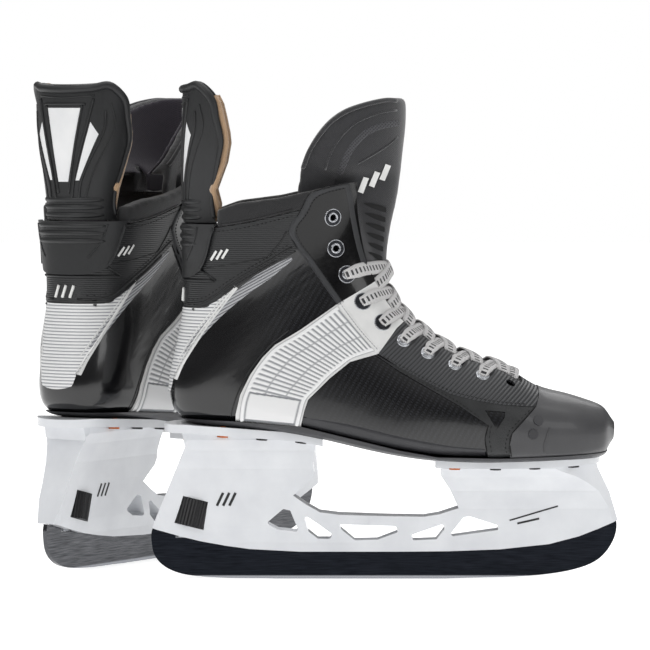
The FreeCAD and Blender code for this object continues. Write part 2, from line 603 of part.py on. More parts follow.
def make_lace(form):
    """The flat lace, as a crossed pair of bands at each laced pair of eyelets."""
    strands = []
    tube = tongue_tube(0.0)
    rooms = []
    for hand, lift in ((-1, 0.0), (1, LACE_THICK + 0.9)):
        places = eyelet_places(form, hand)
        for row in range(LACED_FROM, len(EYELETS)):
            seat, normal = places[row]
            before = places[row - 1][0]
            ahead = Vector(seat.x - before.x, 0, seat.z - before.z).normalize()
            following = places[min(row + 1, len(EYELETS) - 1)][0]
            spread = 0.7 * (following - seat).Length
            strands.append(make_strand(form, tube, seat, normal, ahead, spread, lift))
            rooms.append(eyelet_room(seat, normal))
    return group([max(strand.cut(rooms).Solids, key=lambda solid: solid.Volume) for strand in strands])


# ---- blade holder and runner ---------------------------------------------------------------------
def runner_outline(grow):
    """The steel's side view: the skating edge below, the strip in the holder above, grown by grow."""
    start = RUNNER_EDGE[0]
    heel_top = RUNNER_TOP[-1]
    embedded = [(x, z + EMBED + grow) for x, z in RUNNER_TOP if RUNNER_HEEL[0] < x < RUNNER_HEEL[1]]
    edges = [curve([heel_top, (0.4, 28.5), start] + RUNNER_EDGE[1:])]
    edges.append(line(RUNNER_EDGE[-1], RUNNER_TOE[0]))
    edges.append(curve(RUNNER_TOE))
    front = (RUNNER_HEEL[1] + grow, 32.8)
    edges.append(line(RUNNER_TOP[0], front))
    edges.append(line(front, (front[0], embedded[0][1])))
    edges.append(line((front[0], embedded[0][1]), embedded[0]))
    edges.append(curve(embedded))
    back = (RUNNER_HEEL[0] - grow, 31.0)
    edges.append(line(embedded[-1], (back[0], embedded[-1][1])))
    edges.append(line((back[0], embedded[-1][1]), back))
    edges.append(line(back, heel_top))
    return Part.Face(Part.Wire(edges))


def plate(face, thick):
    face = face.copy()
    face.translate(Vector(0, -thick / 2, 0))
    return face.extrude(Vector(0, thick, 0))


def block(x0, x1, z0, z1, thick):
    return Part.makeBox(x1 - x0, thick, z1 - z0, Vector(x0, -thick / 2, z0))


def dial_axis():
    lean = math.radians(DIAL_LEAN)
    return Vector(math.sin(lean), 0, math.cos(lean))


def make_runner():
    """The steel, with a front hook that it turns about and a rear hook that the pull rod holds."""
    steel = plate(runner_outline(0.0), STEEL)
    tab = block(HOOK_X + 3.0, HOOK_X + 7.0, 26.4, 31.8, STEEL)
    finger = block(HOOK_X - 2.5, HOOK_X + 7.0, 29.4, 31.8, STEEL)
    mouth = block(HOOK_X - 10.0, HOOK_X + 3.0, 26.4, 40.0, STEEL + 2)
    front_arm = block(ANCHOR.x - 7.0, ANCHOR.x - 2.0, 28.0, ANCHOR.z + 2.0, STEEL)
    front_finger = block(ANCHOR.x - 7.0, ANCHOR.x + 5.0, ANCHOR.z - 2.0, ANCHOR.z + 2.0, STEEL)
    return steel.cut(mouth).fuse([tab, finger, front_arm, front_finger]).removeSplitter()


def make_pull_rod():
    """The rod that the dial's thread moves, with a flat hook under the runner's finger."""
    axis = dial_axis()
    rod = Part.makeCylinder(STEM, 25.0, DIAL_CENTRE - axis * 10.4, axis)
    thick = STEEL - 0.2
    bridge = block(HOOK_X - 8.0, HOOK_X + 1.5, 32.2, 34.6, thick)
    arm = block(HOOK_X - 8.0, HOOK_X - 4.6, 26.8, 34.6, thick)
    finger = block(HOOK_X - 8.0, HOOK_X + 1.6, 26.8, 29.1, thick)
    return rod.fuse([bridge, arm, finger]).removeSplitter()


def make_dial():
    """The knurled thumb dial, bored for the pull rod."""
    teeth = 36
    points = []
    for step in range(2 * teeth):
        turn = math.pi * step / teeth
        radius = DIAL_RADIUS if step % 2 else DIAL_RADIUS - 0.7
        points.append(Vector(radius * math.cos(turn), radius * math.sin(turn), -DIAL_HEIGHT / 2))
    wheel = Part.Face(Part.makePolygon(points + points[:1])).extrude(Vector(0, 0, DIAL_HEIGHT))
    bore = Part.makeCylinder(STEM + STEM_GAP, DIAL_HEIGHT + 2, Vector(0, 0, -DIAL_HEIGHT / 2 - 1))
    wheel = wheel.cut(bore)
    wheel.rotate(Vector(0, 0, 0), Vector(0, 1, 0), DIAL_LEAN)
    wheel.translate(DIAL_CENTRE)
    return wheel


def post_body(profile, x0, x1):
    """The holder's cross section, the same on both sides, drawn along the skate."""
    right = [Vector(x0, -y, z) for y, z in profile]
    left = [Vector(x0, y, z) for y, z in reversed(profile)]
    face = Part.Face(Part.makePolygon(right + left + right[:1]))
    return face.extrude(Vector(x1 - x0, 0, 0))


def flange_plate(x0, x1, half, nose):
    """A top plate under the outsole, rounded in plan at its outer end (nose -1: heel, 1: toe)."""
    z = 60.0
    square, tip = (x1, x0) if nose < 0 else (x0, x1)
    bend = tip - nose * half
    corners = [Vector(bend, half, z), Vector(square, half, z), Vector(square, -half, z),
               Vector(bend, -half, z)]
    outline = [Part.makeLine(a, b) for a, b in zip(corners, corners[1:])]
    outline.append(Part.Arc(corners[-1], Vector(tip, 0, z), corners[0]).toShape())
    tall = Part.Face(Part.Wire(outline)).extrude(Vector(0, 0, 60.0))
    return tall.common(band(SOLE_LINE, -FLANGE, 2.0))


def make_holder(form, rivet_shanks):
    """The moulded holder: two posts and an open bridge, slotted for the steel, with a dial pocket."""
    side = prism(HOLDER_SIDE, 60.0)
    rear = side.common(post_body(REAR_POST, -10.0, HOLDER_SPLIT))
    front = side.common(post_body(FRONT_POST, HOLDER_SPLIT, 320.0))
    plan = [Vector(x, y, 0) for x, y in BOW] + [Vector(x, -y, 0) for x, y in reversed(BOW)]
    bow = Part.Face(Part.makePolygon(plan + plan[:1])).extrude(Vector(0, 0, 120))
    body = rear.fuse(front).cut(above(SOLE_LINE)).common(bow)
    body = body.fuse([flange_plate(9.0, 111.0, REAR_FLANGE_HALF, -1),
                      flange_plate(182.5, 289.5, FRONT_FLANGE_HALF, 1)])
    body = body.cut(form.at(SOLE_PROUD + GLUE, SOLE + GLUE))
    for outline in HOLDER_WINDOWS:
        body = body.cut(rounded_prism(outline, 60.0, WINDOW_ROUND))
    slot = plate(runner_outline(ROOF_GAP), STEEL + 2 * SLOT_GAP)
    wide = STEEL + 2 * SLOT_GAP
    hook_room = block(HOOK_X - 10.0, HOOK_X + 9.0, 20.0, 36.0, wide)
    anchor_room = block(ANCHOR.x - 8.0, ANCHOR.x + 6.5, ANCHOR.z - 2.6, ANCHOR.z + 2.8, wide)
    anchor_way = block(ANCHOR.x - 8.0, ANCHOR.x - 1.2, 20.0, ANCHOR.z + 2.8, wide)
    axis = dial_axis()
    tall = DIAL_HEIGHT + 2 * DIAL_GAP
    pocket = Part.makeCylinder(DIAL_RADIUS + DIAL_GAP, tall, DIAL_CENTRE - axis * (tall / 2), axis)
    stem_room = Part.makeCylinder(STEM + 0.4, 36.0, DIAL_CENTRE - axis * 18.0, axis)
    body = body.cut([slot, hook_room, anchor_room, anchor_way, pocket, stem_room, rivet_shanks])
    return body.removeSplitter()


def sole_height(x):
    """The height of the outsole's underside."""
    for (x0, z0), (x1, z1) in zip(SOLE_LINE, SOLE_LINE[1:]):
        if x0 <= x <= x1:
            return z0 + (z1 - z0) * (x - x0) / (x1 - x0)
    raise ValueError(f"no sole at x = {x}")


def make_rivets(places):
    """Flat headed rivets up through a top plate and the outsole."""
    rivets = []
    for x, y in places:
        under = sole_height(x) - FLANGE
        slope = math.atan2(sole_height(x - 2) - sole_height(x + 2), 4.0)
        up = Vector(math.sin(slope), 0, math.cos(slope))
        seat = Vector(x, y, under)
        head = Part.makeCylinder(RIVET_HEAD, RIVET_HEAD_HEIGHT, seat - up * (RIVET_HEAD_HEIGHT + 0.05), up)
        shank = Part.makeCylinder(RIVET_SHANK, FLANGE + SOLE - 0.6, seat - up * 0.5, up)
        rivets.append(head.fuse(shank))
    return group(rivets)


def rivet_places(orange):
    """The foremost or rearmost rivet of each plate is copper, and the others are black steel."""
    if orange:
        chosen = [REAR_RIVETS[0], FRONT_RIVETS[0]]
    else:
        chosen = REAR_RIVETS[1:] + FRONT_RIVETS[1:]
    return [(x, side * y) for x, y in chosen for side in (-1, 1)]


# ---- one skate -----------------------------------------------------------------------------------
def make_skate():
    form = Boot()
    pieces = make_boot_pieces(form)
    pieces["eyelets"] = make_eyelets(form)
    pieces["toe_cap_plugs"] = make_cap_plugs(form)
    plugs = [form.surface(x, z, CAP, hand) for hand in (-1, 1) for x, z in CAP_PLUGS]
    sockets = [Part.makeCylinder(PLUG_RADIUS + GLUE, 3.0, seat - normal * (0.8 + GLUE), normal)
               for seat, normal in plugs]
    pieces["toe_cap"] = pieces["toe_cap"].cut(Part.makeCompound(sockets))
    pieces["tongue_lower"] = make_lower_tongue(form)
    pieces["tongue_flap"], pieces["tongue_felt"] = make_upper_tongue(form)
    pieces["tendon_guard"], pieces["guard_inserts"], pieces["guard_felt"] = make_guard()
    pieces["lace"] = make_lace(form)
    pieces["copper_rivets"] = make_rivets(rivet_places(True))
    pieces["steel_rivets"] = make_rivets(rivet_places(False))
    shanks = Part.makeCompound([pieces["copper_rivets"], pieces["steel_rivets"]])
    pieces["holder"] = make_holder(form, shanks)
    pieces["outsole"] = pieces["outsole"].cut(shanks)
    pieces["runner"] = make_runner()
    pieces["lock_dial"] = make_dial()
    pieces["lock_rod"] = make_pull_rod()
    return {name: group([shape]) for name, shape in pieces.items()}


def place_left(shape):
    """The left skate is the right one's mirror image, turned and moved to its place beside it."""
    left = shape.mirror(Vector(0, 0, 0), Vector(0, 1, 0))
    left.rotate(Vector(0, 0, 0), Vector(0, 0, 1), LEFT_TURN)
    left.translate(Vector(LEFT_HEEL[0], LEFT_HEEL[1], 0))
    return left


def middle_of(shapes):
    """The middle of the footprint of all the shapes, from their meshes."""
    points = [point for shape in shapes for point in shape.tessellate(0.3)[0]]
    xs = [point.x for point in points]
    ys = [point.y for point in points]
    return Vector((min(xs) + max(xs)) / 2, (min(ys) + max(ys)) / 2, min(point.z for point in points))


def main():
    os.makedirs("parts", exist_ok=True)
    right = make_skate()
    nodes = {"right_" + name: shape for name, shape in right.items()}
    nodes.update({"left_" + name: place_left(shape) for name, shape in right.items()})
    middle = middle_of(nodes.values())
    print("pair origin seen from the right runner's heel end:", [round(v, 3) for v in middle])
    for name, shape in nodes.items():
        shape.translate(middle * -1)
        shape.exportStep(os.path.join("parts", name + ".step"))


main()
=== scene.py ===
"""A pair of ice hockey skates: moulded boots, stitched panels, ribbed insets, laces and steel.

Everything on a skate is made once, on the right one, in millimetres along the boot: x from the heel
to the toe, y to the wearer's left, z up from the ice. The left skate gets a mirrored copy of it.
"""
import json
import math

import bmesh
import bpy
from mathutils import Matrix, Vector
from mathutils.bvhtree import BVHTree


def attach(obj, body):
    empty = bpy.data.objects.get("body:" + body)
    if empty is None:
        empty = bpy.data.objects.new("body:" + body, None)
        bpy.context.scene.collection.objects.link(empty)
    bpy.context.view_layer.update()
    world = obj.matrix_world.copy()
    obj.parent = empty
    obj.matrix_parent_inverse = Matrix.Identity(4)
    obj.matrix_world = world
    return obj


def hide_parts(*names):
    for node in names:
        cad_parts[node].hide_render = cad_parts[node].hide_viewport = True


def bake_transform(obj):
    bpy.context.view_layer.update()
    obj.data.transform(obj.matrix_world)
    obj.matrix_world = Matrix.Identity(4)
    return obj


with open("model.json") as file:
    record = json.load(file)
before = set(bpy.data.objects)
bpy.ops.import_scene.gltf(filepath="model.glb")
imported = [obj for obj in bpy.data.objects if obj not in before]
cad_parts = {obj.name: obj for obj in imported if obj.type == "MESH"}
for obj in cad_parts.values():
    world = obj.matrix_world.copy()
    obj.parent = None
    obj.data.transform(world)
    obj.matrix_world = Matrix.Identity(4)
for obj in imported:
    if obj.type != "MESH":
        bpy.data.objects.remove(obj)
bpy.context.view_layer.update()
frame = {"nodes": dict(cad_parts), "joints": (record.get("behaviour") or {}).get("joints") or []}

NODES = frame["nodes"]

# ---- where the two skates stand -----------------------------------------------------------------
DIAL = Vector((27.0, 0.0, 43.5))
dial_turn = next(joint for joint in frame["joints"] if joint["name"] == "right_dial_turn")
SHIFT = DIAL - Vector(dial_turn["pos_m"]) * 1000
LEFT_HEEL = Vector((-70.0, 20.0, 0.0))
LEFT_TURN = math.radians(55.0)
MM = Matrix.Scale(0.001, 4)
RIGHT = MM @ Matrix.Translation(-SHIFT)
LEFT = (MM @ Matrix.Translation(LEFT_HEEL - SHIFT) @ Matrix.Rotation(LEFT_TURN, 4, "Z")
        @ Matrix.Scale(-1, 4, (0, 1, 0)))

# ---- camera, light and floor --------------------------------------------------------------------
CAMERA_PLACE = (0.00045, -2.71215, 0.308)
CAMERA_DIP = 3.177  # degrees below level
FOCAL_LENGTH, SENSOR = 224.3, 36.0  # a long lens from well back, so both boots keep their proportions

camera = bpy.data.objects.new("camera", bpy.data.cameras.new("camera"))
camera.location = CAMERA_PLACE
camera.rotation_euler = (math.radians(90 - CAMERA_DIP), 0, 0)
camera.data.lens = FOCAL_LENGTH
camera.data.sensor_width = SENSOR
bpy.context.scene.collection.objects.link(camera)
bpy.context.scene.camera = camera


def softbox(name, place, aim, size, power):
    """A square studio light, by its place, the point it shines at, its width and its power."""
    lamp = bpy.data.objects.new(name, bpy.data.lights.new(name, "AREA"))
    lamp.data.size = size
    lamp.data.energy = power
    lamp.location = place
    lamp.rotation_euler = (Vector(aim) - Vector(place)).to_track_quat("-Z", "Y").to_euler()
    bpy.context.scene.collection.objects.link(lamp)


softbox("key", (-1.5, -1.4, 1.7), (-0.05, 0, 0.12), 1.0, 13)
softbox("fill", (1.4, -1.6, 0.9), (0.05, 0, 0.12), 0.8, 5)
softbox("top", (0.1, 0.1, 1.9), (0, 0, 0.1), 1.6, 10)
softbox("back", (0.2, 1.8, 1.2), (0, 0, 0.15), 1.2, 6)


def studio():
    """A white room whose walls send less light than its ceiling, so that black stays black."""
    walls, ceiling = 0.1, 0.75
    world = bpy.data.worlds.new("studio")
    bpy.context.scene.world = world
    world.use_nodes = True
    tree = world.node_tree
    tree.nodes.clear()
    seen = tree.nodes.new("ShaderNodeLightPath").outputs["Is Camera Ray"]
    way = tree.nodes.new("ShaderNodeTexCoord").outputs["Generated"]
    height = tree.nodes.new("ShaderNodeSeparateXYZ")
    rise = tree.nodes.new("ShaderNodeMapRange")
    rise.inputs["From Min"].default_value, rise.inputs["From Max"].default_value = 0.1, 0.9
    rise.inputs["To Min"].default_value, rise.inputs["To Max"].default_value = walls, ceiling
    strength = tree.nodes.new("ShaderNodeMix")
    strength.inputs["B"].default_value = 1.0
    background = tree.nodes.new("ShaderNodeBackground")
    background.inputs["Color"].default_value = (1, 1, 1, 1)
    output = tree.nodes.new("ShaderNodeOutputWorld")
    for a, b in ((way, height.inputs[0]), (height.outputs["Z"], rise.inputs["Value"]),
                 (seen, strength.inputs["Factor"]), (rise.outputs[0], strength.inputs["A"]),
                 (strength.outputs["Result"], background.inputs["Strength"]),
                 (background.outputs[0], output.inputs["Surface"])):
        tree.links.new(a, b)


studio()
bpy.context.scene.view_settings.view_transform = "Standard"  # white stays white


# ---- materials ----------------------------------------------------------------------------------
def linear(code):
    """A colour from its sRGB hex code."""
    parts = [int(code[i:i + 2], 16) / 255 for i in (1, 3, 5)]
    return [p / 12.92 if p <= 0.04045 else ((p + 0.055) / 1.055) ** 2.4 for p in parts] + [1.0]


def add(tree, kind, sockets=None, **settings):
    """A node with its settings, and its sockets' values or links."""
    node = tree.nodes.new(kind)
    for name, value in settings.items():
        setattr(node, name, value)
    for name, value in (sockets or {}).items():
        if isinstance(value, bpy.types.NodeSocket):
            tree.links.new(value, node.inputs[name])
        else:
            node.inputs[name].default_value = value
    return node


def start(name, colour, roughness, **sockets):
    """A new material's tree and shader, with what is the same all over set on the shader."""
    finish = bpy.data.materials.new(name)
    finish.use_nodes = True
    tree = finish.node_tree
    shader = tree.nodes["Principled BSDF"]
    shader.inputs["Base Color"].default_value = linear(colour)
    shader.inputs["Roughness"].default_value = roughness
    for socket, value in sockets.items():
        shader.inputs[socket.replace("_", " ")].default_value = value
    return finish, tree, shader


def along_boot(tree, side):
    """Millimetres in the skate's own directions, from the place on the object."""
    turn = LEFT_TURN if side == "left" else 0.0
    flip = Vector((1000, -1000 if side == "left" else 1000, 1000))
    back = (LEFT if side == "left" else RIGHT).inverted()
    return add(tree, "ShaderNodeMapping", {
        "Vector": add(tree, "ShaderNodeTexCoord").outputs["Object"], "Scale": flip,
        "Rotation": (0, 0, turn), "Location": back.translation}).outputs["Vector"]


def speckle(tree, where, size, detail=4.0):
    """Noise whose patches are about size millimetres across."""
    return add(tree, "ShaderNodeTexNoise", {"Vector": where, "Scale": 1.0 / size,
                                            "Detail": detail}).outputs["Fac"]


def ribs(tree, where, pitch, tilt=0.0):
    """Parallel ribs of that pitch in millimetres: level ones, or tilted by an angle in side view."""
    turned = add(tree, "ShaderNodeMapping", {"Vector": where, "Rotation": (0, tilt, 0)})
    # a wave texture of scale 1 repeats every pi / 10 units
    return add(tree, "ShaderNodeTexWave", {"Vector": turned.outputs["Vector"],
                                           "Scale": math.pi / (10 * pitch)},
               bands_direction="Z").outputs["Fac"]


def shade(tree, factor, dark, light, low=0.3, high=0.7):
    """Two colours mixed by a factor."""
    ramp = add(tree, "ShaderNodeValToRGB", {"Fac": factor})
    ramp.color_ramp.elements[0].position, ramp.color_ramp.elements[1].position = low, high
    ramp.color_ramp.elements[0].color, ramp.color_ramp.elements[1].color = linear(dark), linear(light)
    return ramp.outputs["Color"]


def raise_by(tree, shader, height, depth):
    """The surface's fine relief, depth in millimetres."""
    bump = add(tree, "ShaderNodeBump", {"Height": height, "Distance": depth / 1000})
    tree.links.new(bump.outputs["Normal"], shader.inputs["Normal"])


def vary(tree, shader, factor, low, high):
    """Roughness that wanders between two values."""
    spread = add(tree, "ShaderNodeMapRange", {"Value": factor, "To Min": low, "To Max": high})
    tree.links.new(spread.outputs["Result"], shader.inputs["Roughness"])


def paint(tree, shader, colour):
    """The surface takes its colour from that socket."""
    tree.links.new(colour, shader.inputs["Base Color"])


def mixed(tree, factor, first, second):
    """Two colours mixed by a factor, either of them a colour or a link."""
    mix = add(tree, "ShaderNodeMix", {0: factor, 6: first, 7: second}, data_type="RGBA")
    return mix.outputs[2]


def both_of(tree, first, second, share=0.5):
    """Two heights or masks added in a proportion."""
    mix = add(tree, "ShaderNodeMix", {"Factor": share, "A": first, "B": second})
    return mix.outputs["Result"]


def gloss_shell(side):
    # carbon composite under clear lacquer: black, mirror-like, with a twill ahead of the heel
    finish, tree, shader = start("lacquered_carbon", "#0c0c0e", 0.2, Coat_Weight=0.5,
                                 Coat_Roughness=0.08)
    where = along_boot(tree, side)
    twill_from, twill_full = 62.0, 82.0
    warp = ribs(tree, where, 3.4, 1.05)
    weft = ribs(tree, where, 1.7, -0.5)
    cloth = add(tree, "ShaderNodeMath", {0: warp, 1: weft}, operation="MULTIPLY").outputs[0]
    along = add(tree, "ShaderNodeSeparateXYZ", {"Vector": where}).outputs["X"]
    ahead = add(tree, "ShaderNodeMapRange", {"Value": along, "From Min": twill_from,
                                            "From Max": twill_full})
    shown = add(tree, "ShaderNodeMath", {0: cloth, 1: ahead.outputs["Result"]}, operation="MULTIPLY")
    paint(tree, shader, shade(tree, shown.outputs[0], "#070709", "#222327", 0.12, 0.85))
    return finish


def grained(name, dark, light, rough, grain=0.9, depth=0.12, **sockets):
    """Coated leather or synthetic leather: a fine pebbled grain, its colour wandering in patches about 14
    mm across.
    """
    def make(side):
        finish, tree, shader = start(name, light, rough, **sockets)
        where = along_boot(tree, side)
        pebble = add(tree, "ShaderNodeTexVoronoi", {"Vector": where, "Scale": 1.0 / grain},
                     feature="SMOOTH_F1").outputs["Distance"]
        paint(tree, shader, shade(tree, speckle(tree, where, 14.0), dark, light))
        vary(tree, shader, speckle(tree, where, 3.0), rough - 0.06, rough + 0.08)
        raise_by(tree, shader, pebble, depth)
        return finish
    return make


def ribbed(name, dark, light, rough, pitch, tilt=0.0, depth=0.35, **sockets):
    """Embossed sheet: parallel ribs of one pitch, with painted shade between them."""
    def make(side):
        finish, tree, shader = start(name, light, rough, **sockets)
        where = along_boot(tree, side)
        relief = ribs(tree, where, pitch, tilt)
        # painted shade: the colour goes dark where the ribs are low
        paint(tree, shader, shade(tree, relief, dark, light, 0.05, 0.55))
        raise_by(tree, shader, both_of(tree, relief, speckle(tree, where, 0.6), 0.15), depth)
        return finish
    return make


def moulded(name, dark, light, rough, depth=0.05, grain=0.5, **sockets):
    """Injection moulding: an even colour with faint flow marks and a fine spark-eroded skin."""
    def make(side):
        finish, tree, shader = start(name, light, rough, **sockets)
        where = along_boot(tree, side)
        paint(tree, shader, shade(tree, speckle(tree, where, 22.0), dark, light))
        vary(tree, shader, speckle(tree, where, 6.0), rough - 0.05, rough + 0.07)
        raise_by(tree, shader, speckle(tree, where, grain), depth)
        return finish
    return make


def woven(name, dark, light, rough, pitch=0.9, depth=0.25, fuzz=0.3, **sockets):
    """Cloth or felt: crossed threads, drawn a little coarse so that they show, under loose fibres."""
    def make(side):
        finish, tree, shader = start(name, light, rough, Sheen_Weight=fuzz, **sockets)
        where = along_boot(tree, side)
        threads = add(tree, "ShaderNodeMath", {0: ribs(tree, where, pitch, 0.785),
                                               1: ribs(tree, where, pitch, -0.785)},
                      operation="MAXIMUM").outputs[0]
        fibres = speckle(tree, where, 0.7, 8.0)
        paint(tree, shader, shade(tree, both_of(tree, threads, fibres, 0.6), dark, light, 0.3, 0.75))
        raise_by(tree, shader, both_of(tree, threads, fibres), depth)
        return finish
    return make


def metal(name, dark, light, rough, scratch=0.4, **sockets):
    """Polished or plated metal: faint brushed streaks along the skate."""
    def make(side):
        finish, tree, shader = start(name, light, rough, Metallic=1.0, **sockets)
        where = along_boot(tree, side)
        streaks = add(tree, "ShaderNodeMapping", {"Vector": where, "Scale": (0.05, 1.0, 1.0)})
        lines = speckle(tree, streaks.outputs["Vector"], scratch, 6.0)
        paint(tree, shader, shade(tree, lines, dark, light))
        vary(tree, shader, lines, rough - 0.03, rough + 0.08)
        return finish
    return make


def runner_steel(side):
    # hardened steel with a black coating, ground bright along the skating edge; the left skate's copy has
    # painted light, a lighter grey than the right's for the light it catches at its turned angle
    dark, light = ("#101216", "#24272d") if side == "right" else ("#3c3d40", "#6a6b6e")
    finish, tree, shader = start("coated_steel", light, 0.2, Metallic=1.0)
    where = along_boot(tree, side)
    height = add(tree, "ShaderNodeSeparateXYZ", {"Vector": where}).outputs["Z"]
    streaks = add(tree, "ShaderNodeMapping", {"Vector": where, "Scale": (0.04, 1.0, 1.0)})
    lines = speckle(tree, streaks.outputs["Vector"], 0.5, 6.0)
    bright_to, black_from = 1.6, 2.4
    edge = add(tree, "ShaderNodeMapRange", {"Value": height, "From Min": bright_to,
                                            "From Max": black_from})
    body = shade(tree, lines, dark, light)
    paint(tree, shader, mixed(tree, edge.outputs["Result"], linear("#9c9ea3"), body))
    vary(tree, shader, lines, 0.14, 0.26)
    return finish


def lace_cotton(side):
    # flat braided cotton: a herringbone of 0.9 mm strands, with dark tracer flecks down the middle
    finish, tree, shader = start("braided_cotton", "#eceae5", 0.8, Sheen_Weight=0.25)
    braid_turns, fleck_turns = 5.2, 2.1  # radians in each millimetre: 1.2 mm and 3 mm repeats
    fleck_reach = 1.7

    def sums(operation, *values):
        return add(tree, "ShaderNodeMath", dict(enumerate(values)), operation=operation).outputs[0]

    place = add(tree, "ShaderNodeSeparateXYZ", {"Vector": add(tree, "ShaderNodeUVMap").outputs["UV"]})
    across, along = sums("ABSOLUTE", place.outputs["X"]), place.outputs["Y"]
    braid = sums("SINE", sums("MULTIPLY", sums("ADD", across, along), braid_turns))
    middle = sums("LESS_THAN", across, fleck_reach)
    fleck = sums("GREATER_THAN", sums("SINE", sums("MULTIPLY", along, fleck_turns)), 0.25)
    cloth = shade(tree, braid, "#cfcdcd", "#f4f3f3", 0.0, 0.6)
    paint(tree, shader, mixed(tree, sums("MULTIPLY", fleck, middle), cloth, linear("#26262a")))
    raise_by(tree, shader, braid, 0.25)
    return finish


def stripe_white_painted_shade(side):
    # moulded white polyurethane sheet, with painted shade in the hollows between its ribs: the colour turns
    # grey where the relief stored in the UV is low
    finish, tree, shader = start("white_sheet_painted_hollow_shade", "#f0f0f0", 0.38, Coat_Weight=0.1)
    height = add(tree, "ShaderNodeSeparateXYZ",
                 {"Vector": add(tree, "ShaderNodeUVMap").outputs["UV"]}).outputs["X"]
    paint(tree, shader, shade(tree, height, "#86888c", "#e6e6e6", 0.0, 0.5))
    raise_by(tree, shader, speckle(tree, along_boot(tree, side), 0.5), 0.03)
    return finish


FINISHES = {
    "stripe": stripe_white_painted_shade,
    "gloss": gloss_shell,
    "satin_cap": moulded("satin_polyurethane", "#39393b", "#434345", 0.42, 0.06, 0.7, Coat_Weight=0.15),
    "outsole": moulded("composite_plate", "#2b2b2e", "#343437", 0.38, 0.05),
    "white_nylon": moulded("glossy_nylon", "#d3d5d9", "#dfe1e4", 0.22, 0.02, 1.2, Coat_Weight=0.3),
    "guard": moulded("charcoal_elastomer", "#131415", "#1b1c1e", 0.46, 0.08),
    "white_moulding": moulded("white_elastomer", "#dfe0e1", "#ececec", 0.4),
    "black_plastic": moulded("black_acetal", "#0e0e10", "#17171a", 0.34, 0.05),
    "steel": runner_steel,
    "silver": metal("nickel_plate", "#8d8f93", "#c3c5c9", 0.24),
    "gunmetal": metal("black_nickel", "#26272a", "#3d3e42", 0.3),
    "copper": metal("copper_rivet", "#a3552f", "#c9743f", 0.3),
    "black_leather": grained("coated_leather", "#0f0f10", "#161618", 0.42),
    # the ribbed finishes here carry painted shade between their ribs
    "charcoal_leather": ribbed("ribbed_charcoal_painted_shade", "#101112", "#1d1e20", 0.45, 1.3, 0.0, 0.14),
    "patent": grained("patent_leather", "#040405", "#070708", 0.16, 3.0, 0.03, Coat_Weight=0.3,
                      Coat_Roughness=0.05, Specular_IOR_Level=0.3),
    "grey_binding": grained("binding_tape", "#242527", "#2d2e31", 0.55, 0.5),
    "grey_ribbed": ribbed("ribbed_overlay", "#161718", "#36373a", 0.45, 2.2, 0.75),
    "grey_inset": ribbed("ribbed_grey_inset", "#5b5c60", "#a7a8ab", 0.5, 1.7, 0.5),
    "white_leather": grained("white_coated_leather", "#d2d2d1", "#e0e0df", 0.4, 0.8),
    "white_ribbed": ribbed("ribbed_white_inset", "#8e9094", "#e4e4e4", 0.42, 2.1),
    "white_thread": grained("white_thread", "#d6d6d4", "#eeeeec", 0.7, 0.4),
    "grey_thread": grained("grey_thread", "#77787c", "#8b8c90", 0.7, 0.4),
    "black_thread": grained("black_thread", "#070708", "#0d0d0e", 0.75, 0.4),
    "strap_leather": grained("grey_coated_leather", "#1e1f20", "#2b2c2d", 0.42, 0.9),
    "mesh": woven("open_mesh", "#0c0c0d", "#4a4a4e", 0.8, 1.5, 0.5),
    # painted shade: near-black sheets stand for the shaded insides of the tongue's slots
    "slot_black": moulded("painted_slot_shade", "#060607", "#0b0b0c", 0.8),
    "collar": woven("collar_cloth", "#101011", "#202022", 0.85),
    "lining": woven("brushed_lining", "#1e1b22", "#332e38", 0.9, 1.1),
    "tongue_felt": woven("grey_felt", "#19191b", "#2e2e31", 0.9, 0.8, 0.35, 0.5),
    "tan_felt": woven("tan_felt", "#94785c", "#bb9b7a", 0.92, 0.8, 0.35, 0.5),
    "lace": lace_cotton,
}
MADE = {}


def finish_for(name, side):
    """The material of that name for one skate, made when it is first asked for."""
    if (name, side) not in MADE:
        made = FINISHES[name](side)
        made.name = made.name.split(".")[0] + "_" + side
        MADE[name, side] = made
    return MADE[name, side]


CAD_FINISHES = {
    "ankle_panel": "charcoal_leather", "collar": "collar", "copper_rivets": "copper",
    "eyelets": "silver", "footbed": "lining", "guard_base": "guard", "guard_felt": "tan_felt",
    "guard_inserts": "white_moulding", "heel_insert": "white_ribbed", "holder": "white_nylon",
    "lace": "white_thread", "liner": "lining", "lock_dial": "black_plastic", "lock_rod": "silver",
    "lower_facing": "grey_ribbed", "middle_facings": "white_leather", "outsole": "outsole",
    "runner": "steel", "shell": "gloss", "side_stripes": "white_leather",
    "steel_rivets": "black_plastic", "tendon_guard": "guard", "toe_cap": "satin_cap",
    "toe_cap_plugs": "outsole", "toe_strap": "strap_leather", "tongue_felt": "tongue_felt",
    "tongue_flap": "tongue_felt", "tongue_lower": "tongue_felt", "upper_facings": "patent",
}
for node_name, node in NODES.items():
    side, piece = node_name.split("_", 1)
    node.data.materials.clear()
    node.data.materials.append(finish_for(CAD_FINISHES[piece], side))


# ---- making pieces ------------------------------------------------------------------------------
BOTH = (-1, 1)  # the wearer's right-hand and left-hand side of the right boot


def skin_of(*pieces):
    """The right skate's surface at those nodes, for finding places on it, in millimetres."""
    corners, faces = [], []
    for piece in pieces:
        mesh = NODES["right_" + piece].data
        base = len(corners)
        corners += [vertex.co * 1000 + SHIFT for vertex in mesh.vertices]
        faces += [[base + i for i in polygon.vertices] for polygon in mesh.polygons]
    return BVHTree.FromPolygons(corners, faces)


def on_side(skin, x, z, hand=-1, lift=0.0):
    """The place on one hand of the skin at (x, z) in side view, lifted off it, and the normal."""
    place, normal = skin.ray_cast(Vector((x, hand * 150, z)), Vector((0, -hand, 0)))[:2]
    if place is None:
        place, normal = skin.find_nearest(Vector((x, hand * 30, z)))[:2]
    if normal.y * hand < 0:
        normal = -normal
    return place + normal * lift, normal


